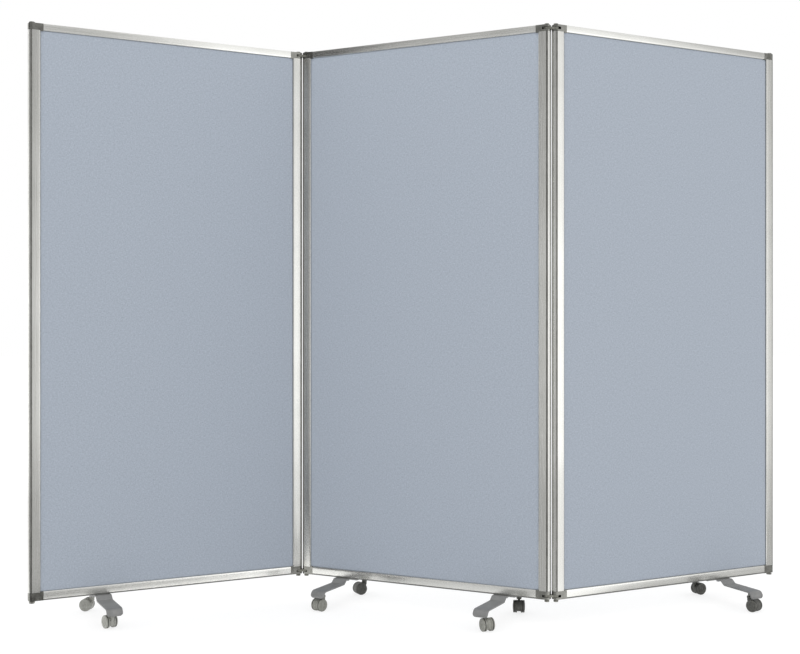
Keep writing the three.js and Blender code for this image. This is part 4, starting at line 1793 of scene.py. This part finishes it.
    def paint_groove_shade(self, mesh: bpy.types.Mesh) -> None:
        """Gives the faces of the groove behind the disc the second, near-black material by their
        centres, as painted shade in the groove.

        Args:
            mesh: The wheel's mesh.
        """
        centre = np.empty(len(mesh.polygons) * 3)
        mesh.polygons.foreach_get("center", centre)
        axle = self.place.apply(np.array([self.trail, 0.0, self.wheel_radius]))
        away = centre.reshape(-1, 3) - axle
        turn = self.place.turn
        sideways = away @ np.array([-math.sin(turn), math.cos(turn), 0.0])
        radius = np.sqrt((away**2).sum(axis=1) - sideways**2)
        into = np.abs(sideways) - self.groove_start
        dark = (into > 0) & (into < self.groove_width)
        dark &= radius > self.wheel_radius - self.groove_depth - self.groove_slack
        mesh.polygons.foreach_set("material_index", dark.astype(np.int32))


# Studio


@dataclass(frozen=True)
class Softbox:
    """A rectangular area lamp that faces the screen.

    Attributes:
        name: Name of the lamp.
        distance: Metres from the screen's middle towards the camera's side.
        height: Metres above the floor.
        size: Edge lengths in metres.
        power: Watts.
        aim: Height of the point on the screen's middle that it faces.
    """

    name: str
    distance: float
    height: float
    size: tuple[float, float]
    power: float
    aim: float = 0.9

    def build(self) -> None:
        """Adds the lamp, tilted towards its aim by the angle whose tangent is distance over drop."""
        lamp = bpy.data.lights.new(self.name, "AREA")
        lamp.shape = "RECTANGLE"
        lamp.size, lamp.size_y = self.size
        lamp.energy = self.power
        holder = linked(self.name, lamp)
        holder.location = (0.0, -self.distance, self.height)
        holder.rotation_euler = (math.atan2(self.distance, self.height - self.aim), 0.0, 0.0)


@dataclass(frozen=True)
class ReflectionWall:
    """A curved studio wall behind the camera that the metal reflects, with bright and dim cards.

    Attributes:
        radius: Distance from the screen's middle.
        height: Height of the wall.
        span: Degrees that it covers to each side of the camera's side.
        spans: Number of faces round it.
        strength: Brightness that the ramp's white stands for.
        cards: Azimuth in degrees, positive to the right, and the wall's brightness there, where a
            white background is 1.
        upper: Share of its brightness that is left at the top.
        inner: Radius from which the wall's foot lies on the floor.
        foot: Share of the wall's brightness that its foot has.
        foot_height: Height of the foot over the floor.
        dim_from: Height where the dimming starts.
        dim_to: Height where it ends.
    """

    radius: float = 4.5
    height: float = 4.5
    span: float = 135.0
    spans: int = 96
    strength: float = 3.0
    cards: Pairs = (
        (-135.0, 1.6),
        (-74.0, 2.2),
        (-71.0, 0.05),
        (-60.8, 0.05),
        (-58.0, 0.95),
        (-50.0, 0.85),
        (-30.0, 0.85),
        (20.0, 0.83),
        (33.0, 0.9),
        (41.0, 2.1),
        (56.0, 2.05),
        (65.0, 1.95),
        (71.0, 1.7),
        (75.5, 0.92),
        (135.0, 0.95),
    )
    upper: float = 0.55
    inner: float = 0.35
    foot: float = 0.75
    foot_height: float = 2 * MM
    dim_from: float = 1.1
    dim_to: float = 3.5

    def build(self) -> None:
        """Makes the wall and its foot on the floor over the azimuths, seen by reflected rays alone.

        The foot's second coordinate is the height at which the wall itself has the foot's brightness.
        """
        azimuth = np.radians(np.linspace(-self.span, self.span, self.spans + 1))
        fallen = (1 - self.foot) / (1 - self.upper)
        dimmed = self.dim_from + fallen * (self.dim_to - self.dim_from)
        low = self.foot_height
        away = np.array([self.inner, self.radius, self.radius, self.radius])
        level = np.array([low, low, low, self.height])
        shade = np.array([dimmed, dimmed, 0.0, self.height])
        turn, line = np.meshgrid(azimuth, np.arange(len(away)), indexing="xy")
        x, y = away[line] * np.sin(turn), -away[line] * np.cos(turn)
        row, _, quads = grid_quads(*turn.shape)
        quads = quads[row != 1]  # lines 0 and 1 are the foot, 2 and 3 the wall, with nothing between
        share = (turn / math.radians(self.span) + 1) / 2
        uv = np.stack([share, shade[line] / self.height], axis=-1).reshape(-1, 2)[quads.ravel()]
        points = np.stack([x, y, level[line]], axis=-1)
        mesh = meshed("studio_wall", points, quads.tolist(), uv, "share")
        mesh.materials.append(self.material())
        wall = linked("studio_wall", mesh)
        wall.visible_camera = False
        wall.visible_diffuse = False
        wall.visible_shadow = False

    def material(self) -> bpy.types.Material:
        """Emission by a ramp over the azimuth, times a fall over the height.

        Returns:
            The material.
        """
        made = bpy.data.materials.new("studio wall cards")
        tree = emptied(made)
        place = add_node(tree, NodeKind.COORDINATES, {})
        parts = add_node(tree, NodeKind.SEPARATE, {0: place.outputs["UV"]})
        azimuth, light = np.array(self.cards).T
        shares, greys = (azimuth / self.span + 1) / 2, light / self.strength
        cards = add_node(tree, NodeKind.RAMP, {0: parts.outputs[0]})
        colour = graded(cards, shares.tolist(), greys.tolist())
        low, high = self.dim_from / self.height, self.dim_to / self.height
        dimmest = self.strength * self.upper
        fall = add_node(
            tree,
            NodeKind.RANGE,
            {0: parts.outputs[1], 1: low, 2: high, 3: self.strength, 4: dimmest},
        )
        shine = add_node(tree, NodeKind.EMISSION, {"Color": colour, "Strength": fall.outputs[0]})
        add_node(tree, NodeKind.MATERIAL_OUTPUT, {"Surface": shine.outputs[0]})
        return made


@dataclass(frozen=True)
class Studio:
    """White floor, white surroundings, lamps and the camera.

    Attributes:
        ambient: Strength of the light from all sides.
        floor_glow: Strength of the floor's own white where it is seen.
        floor_share: Share of that white, the rest being the lit floor with its shadow.
        floor_reach: Half of the floor's width.
        focal: Focal length in mm on a sensor 36 mm wide.
        eye: Place of the camera.
        yaw: Degrees by which it is turned to the left.
        shift: Shift of its picture, in widths.
        wall: What the metal reflects.
        lamps: The lamps.
    """

    ambient: float = 1.08
    floor_glow: float = 1.12
    floor_share: float = 0.7
    floor_reach: float = 30.0
    focal: float = 54.99
    eye: tuple[float, float, float] = (-0.013, -3.850, 0.903)
    yaw: float = -0.8
    shift: tuple[float, float] = (-0.0421, -0.0039)
    wall: ReflectionWall = ReflectionWall()
    lamps: tuple[Softbox, ...] = (Softbox("top softbox", 1.2, 3.6, (3.0, 1.6), 8.0),)

    def build(self) -> None:
        """Adds everything that isn't part of the screen."""
        self.make_camera()
        self.make_world()
        self.make_floor()
        self.wall.build()
        for lamp in self.lamps:
            lamp.build()
        bpy.context.scene.view_settings.view_transform = "Standard"

    def make_camera(self) -> None:
        """The camera, level and at eye height, as solved from the frame's edges."""
        data = bpy.data.cameras.new("camera")
        data.sensor_width = 36.0
        data.lens = self.focal
        data.shift_x, data.shift_y = self.shift
        data.clip_start = 0.05
        holder = linked("camera", data)
        holder.location = self.eye
        holder.rotation_euler = (math.radians(90), 0.0, math.radians(self.yaw))
        bpy.context.scene.camera = holder

    def seen_directly(self, tree: bpy.types.NodeTree) -> bpy.types.NodeSocket:
        """A value of 1 for camera, glossy and transmission rays, and 0 for the rest.

        Args:
            tree: The node tree.

        Returns:
            The value's socket.
        """
        path = add_node(tree, NodeKind.LIGHT_PATH, {})
        seen = path.outputs["Is Camera Ray"]
        for ray in ("Is Glossy Ray", "Is Transmission Ray"):
            inputs = {0: seen, 1: path.outputs[ray]}
            seen = add_node(tree, NodeKind.MATHS, inputs, operation="MAXIMUM").outputs[0]
        return seen

    def make_world(self) -> None:
        """White where it is seen, and a soft ambient light elsewhere."""
        world = bpy.data.worlds.new("studio")
        bpy.context.scene.world = world
        tree = emptied(world)
        seen = self.seen_directly(tree)
        light, white = (
            add_node(tree, NodeKind.BACKGROUND, {"Color": linear("ffffff"), "Strength": strength})
            for strength in (self.ambient, 1.0)
        )
        both = {0: seen, 1: light.outputs[0], 2: white.outputs[0]}
        mixed = add_node(tree, NodeKind.MIX_SHADER, both)
        add_node(tree, NodeKind.WORLD_OUTPUT, {"Surface": mixed.outputs[0]})

    def make_floor(self) -> None:
        """A wide white floor that keeps a faint shadow of the screen."""
        reach = self.floor_reach
        corners = np.array([[-reach, -reach], [reach, -reach], [reach, reach], [-reach, reach]])
        mesh = meshed("studio_floor", np.pad(corners, ((0, 0), (0, 1))), [[0, 1, 2, 3]])
        floor = linked("studio_floor", mesh)
        material = bpy.data.materials.new("white studio floor")
        tree = emptied(material)
        seen = self.seen_directly(tree)
        lit = add_node(tree, NodeKind.DIFFUSE, {"Color": linear("f4f4f4")}).outputs[0]
        glow = {"Color": linear("ffffff"), "Strength": self.floor_glow}
        white = add_node(tree, NodeKind.EMISSION, glow).outputs[0]
        blend = add_node(tree, NodeKind.MIX_SHADER, {0: self.floor_share, 1: lit, 2: white})
        mixed = add_node(tree, NodeKind.MIX_SHADER, {0: seen, 1: lit, 2: blend.outputs[0]})
        add_node(tree, NodeKind.MATERIAL_OUTPUT, {"Surface": mixed.outputs[0]})
        mesh.materials.append(material)


# Assembly


@dataclass(frozen=True)
class FootPlan:
    """Where a foot sits, and how its castors stand.

    Attributes:
        panel: The panel that it is under.
        along: Its place along the panel, from the middle.
        trails: Direction in degrees in which the front and the rear castor trail.
        painted_shades: Painted light and shade of the front and the rear castor.
    """

    panel: str
    along: float
    trails: tuple[float, float]
    painted_shades: tuple[PaintedShade, PaintedShade]


# Painted light and shade: the left foot's castors get the lit tone, the right foot's and the rear ones
# the shaded tone, the middle front ones the half-lit tone.
PALE = (PaintedShade.LIGHT, PaintedShade.LIGHT)
MIXED = (PaintedShade.MIDDLE, PaintedShade.DARK)
DARK = (PaintedShade.DARK, PaintedShade.DARK)
FEET: dict[str, FootPlan] = {
    "left_foot": FootPlan("left_panel", -219 * MM, (130, 172), PALE),
    "middle_left_foot": FootPlan("middle_panel", -280 * MM, (-130, -154), MIXED),
    "middle_right_foot": FootPlan("middle_panel", 280 * MM, (-68, -96), MIXED),
    "right_foot": FootPlan("right_panel", 219 * MM, (-48, 25), DARK),
}


def main() -> None:
    """Builds the studio, the three panels, both hinges, the feet and the castors in order."""
    logging.basicConfig(level=logging.INFO, format="%(message)s")
    layout = Layout()
    Studio().build()
    for name in layout.panels:
        PanelFrame(name, layout, left_free=name == layout.panels[0]).build()
        ClothPanel(name, layout).build()
    hinge_x = (layout.pin_spacing * math.cos(layout.half_fold) + layout.link_pitch) / 2
    hinge_y = layout.pin_spacing / 2 * math.sin(layout.half_fold)
    for side, panels in zip(Side, (layout.panels[:2], layout.panels[1:])):
        x, y = side.sign * hinge_x, -side.sign * hinge_y
        HingePins(f"{side.value}_hinge", x, y, dict(zip(Side, panels)), layout).build()
    for name, plan in FEET.items():
        place = layout.panel(plan.panel).within(plan.along)
        foot = StrapFoot(name, plan.panel, place, layout)
        foot.build()
        for face, trail, painted_shade in zip(Face, plan.trails, plan.painted_shades):
            swivel = foot.castor(face, turn=math.radians(trail) - place.turn)
            TwinCastor(f"{name}_{face.value[0]}", swivel, painted_shade).build()


if __name__ == "__main__":
    main()
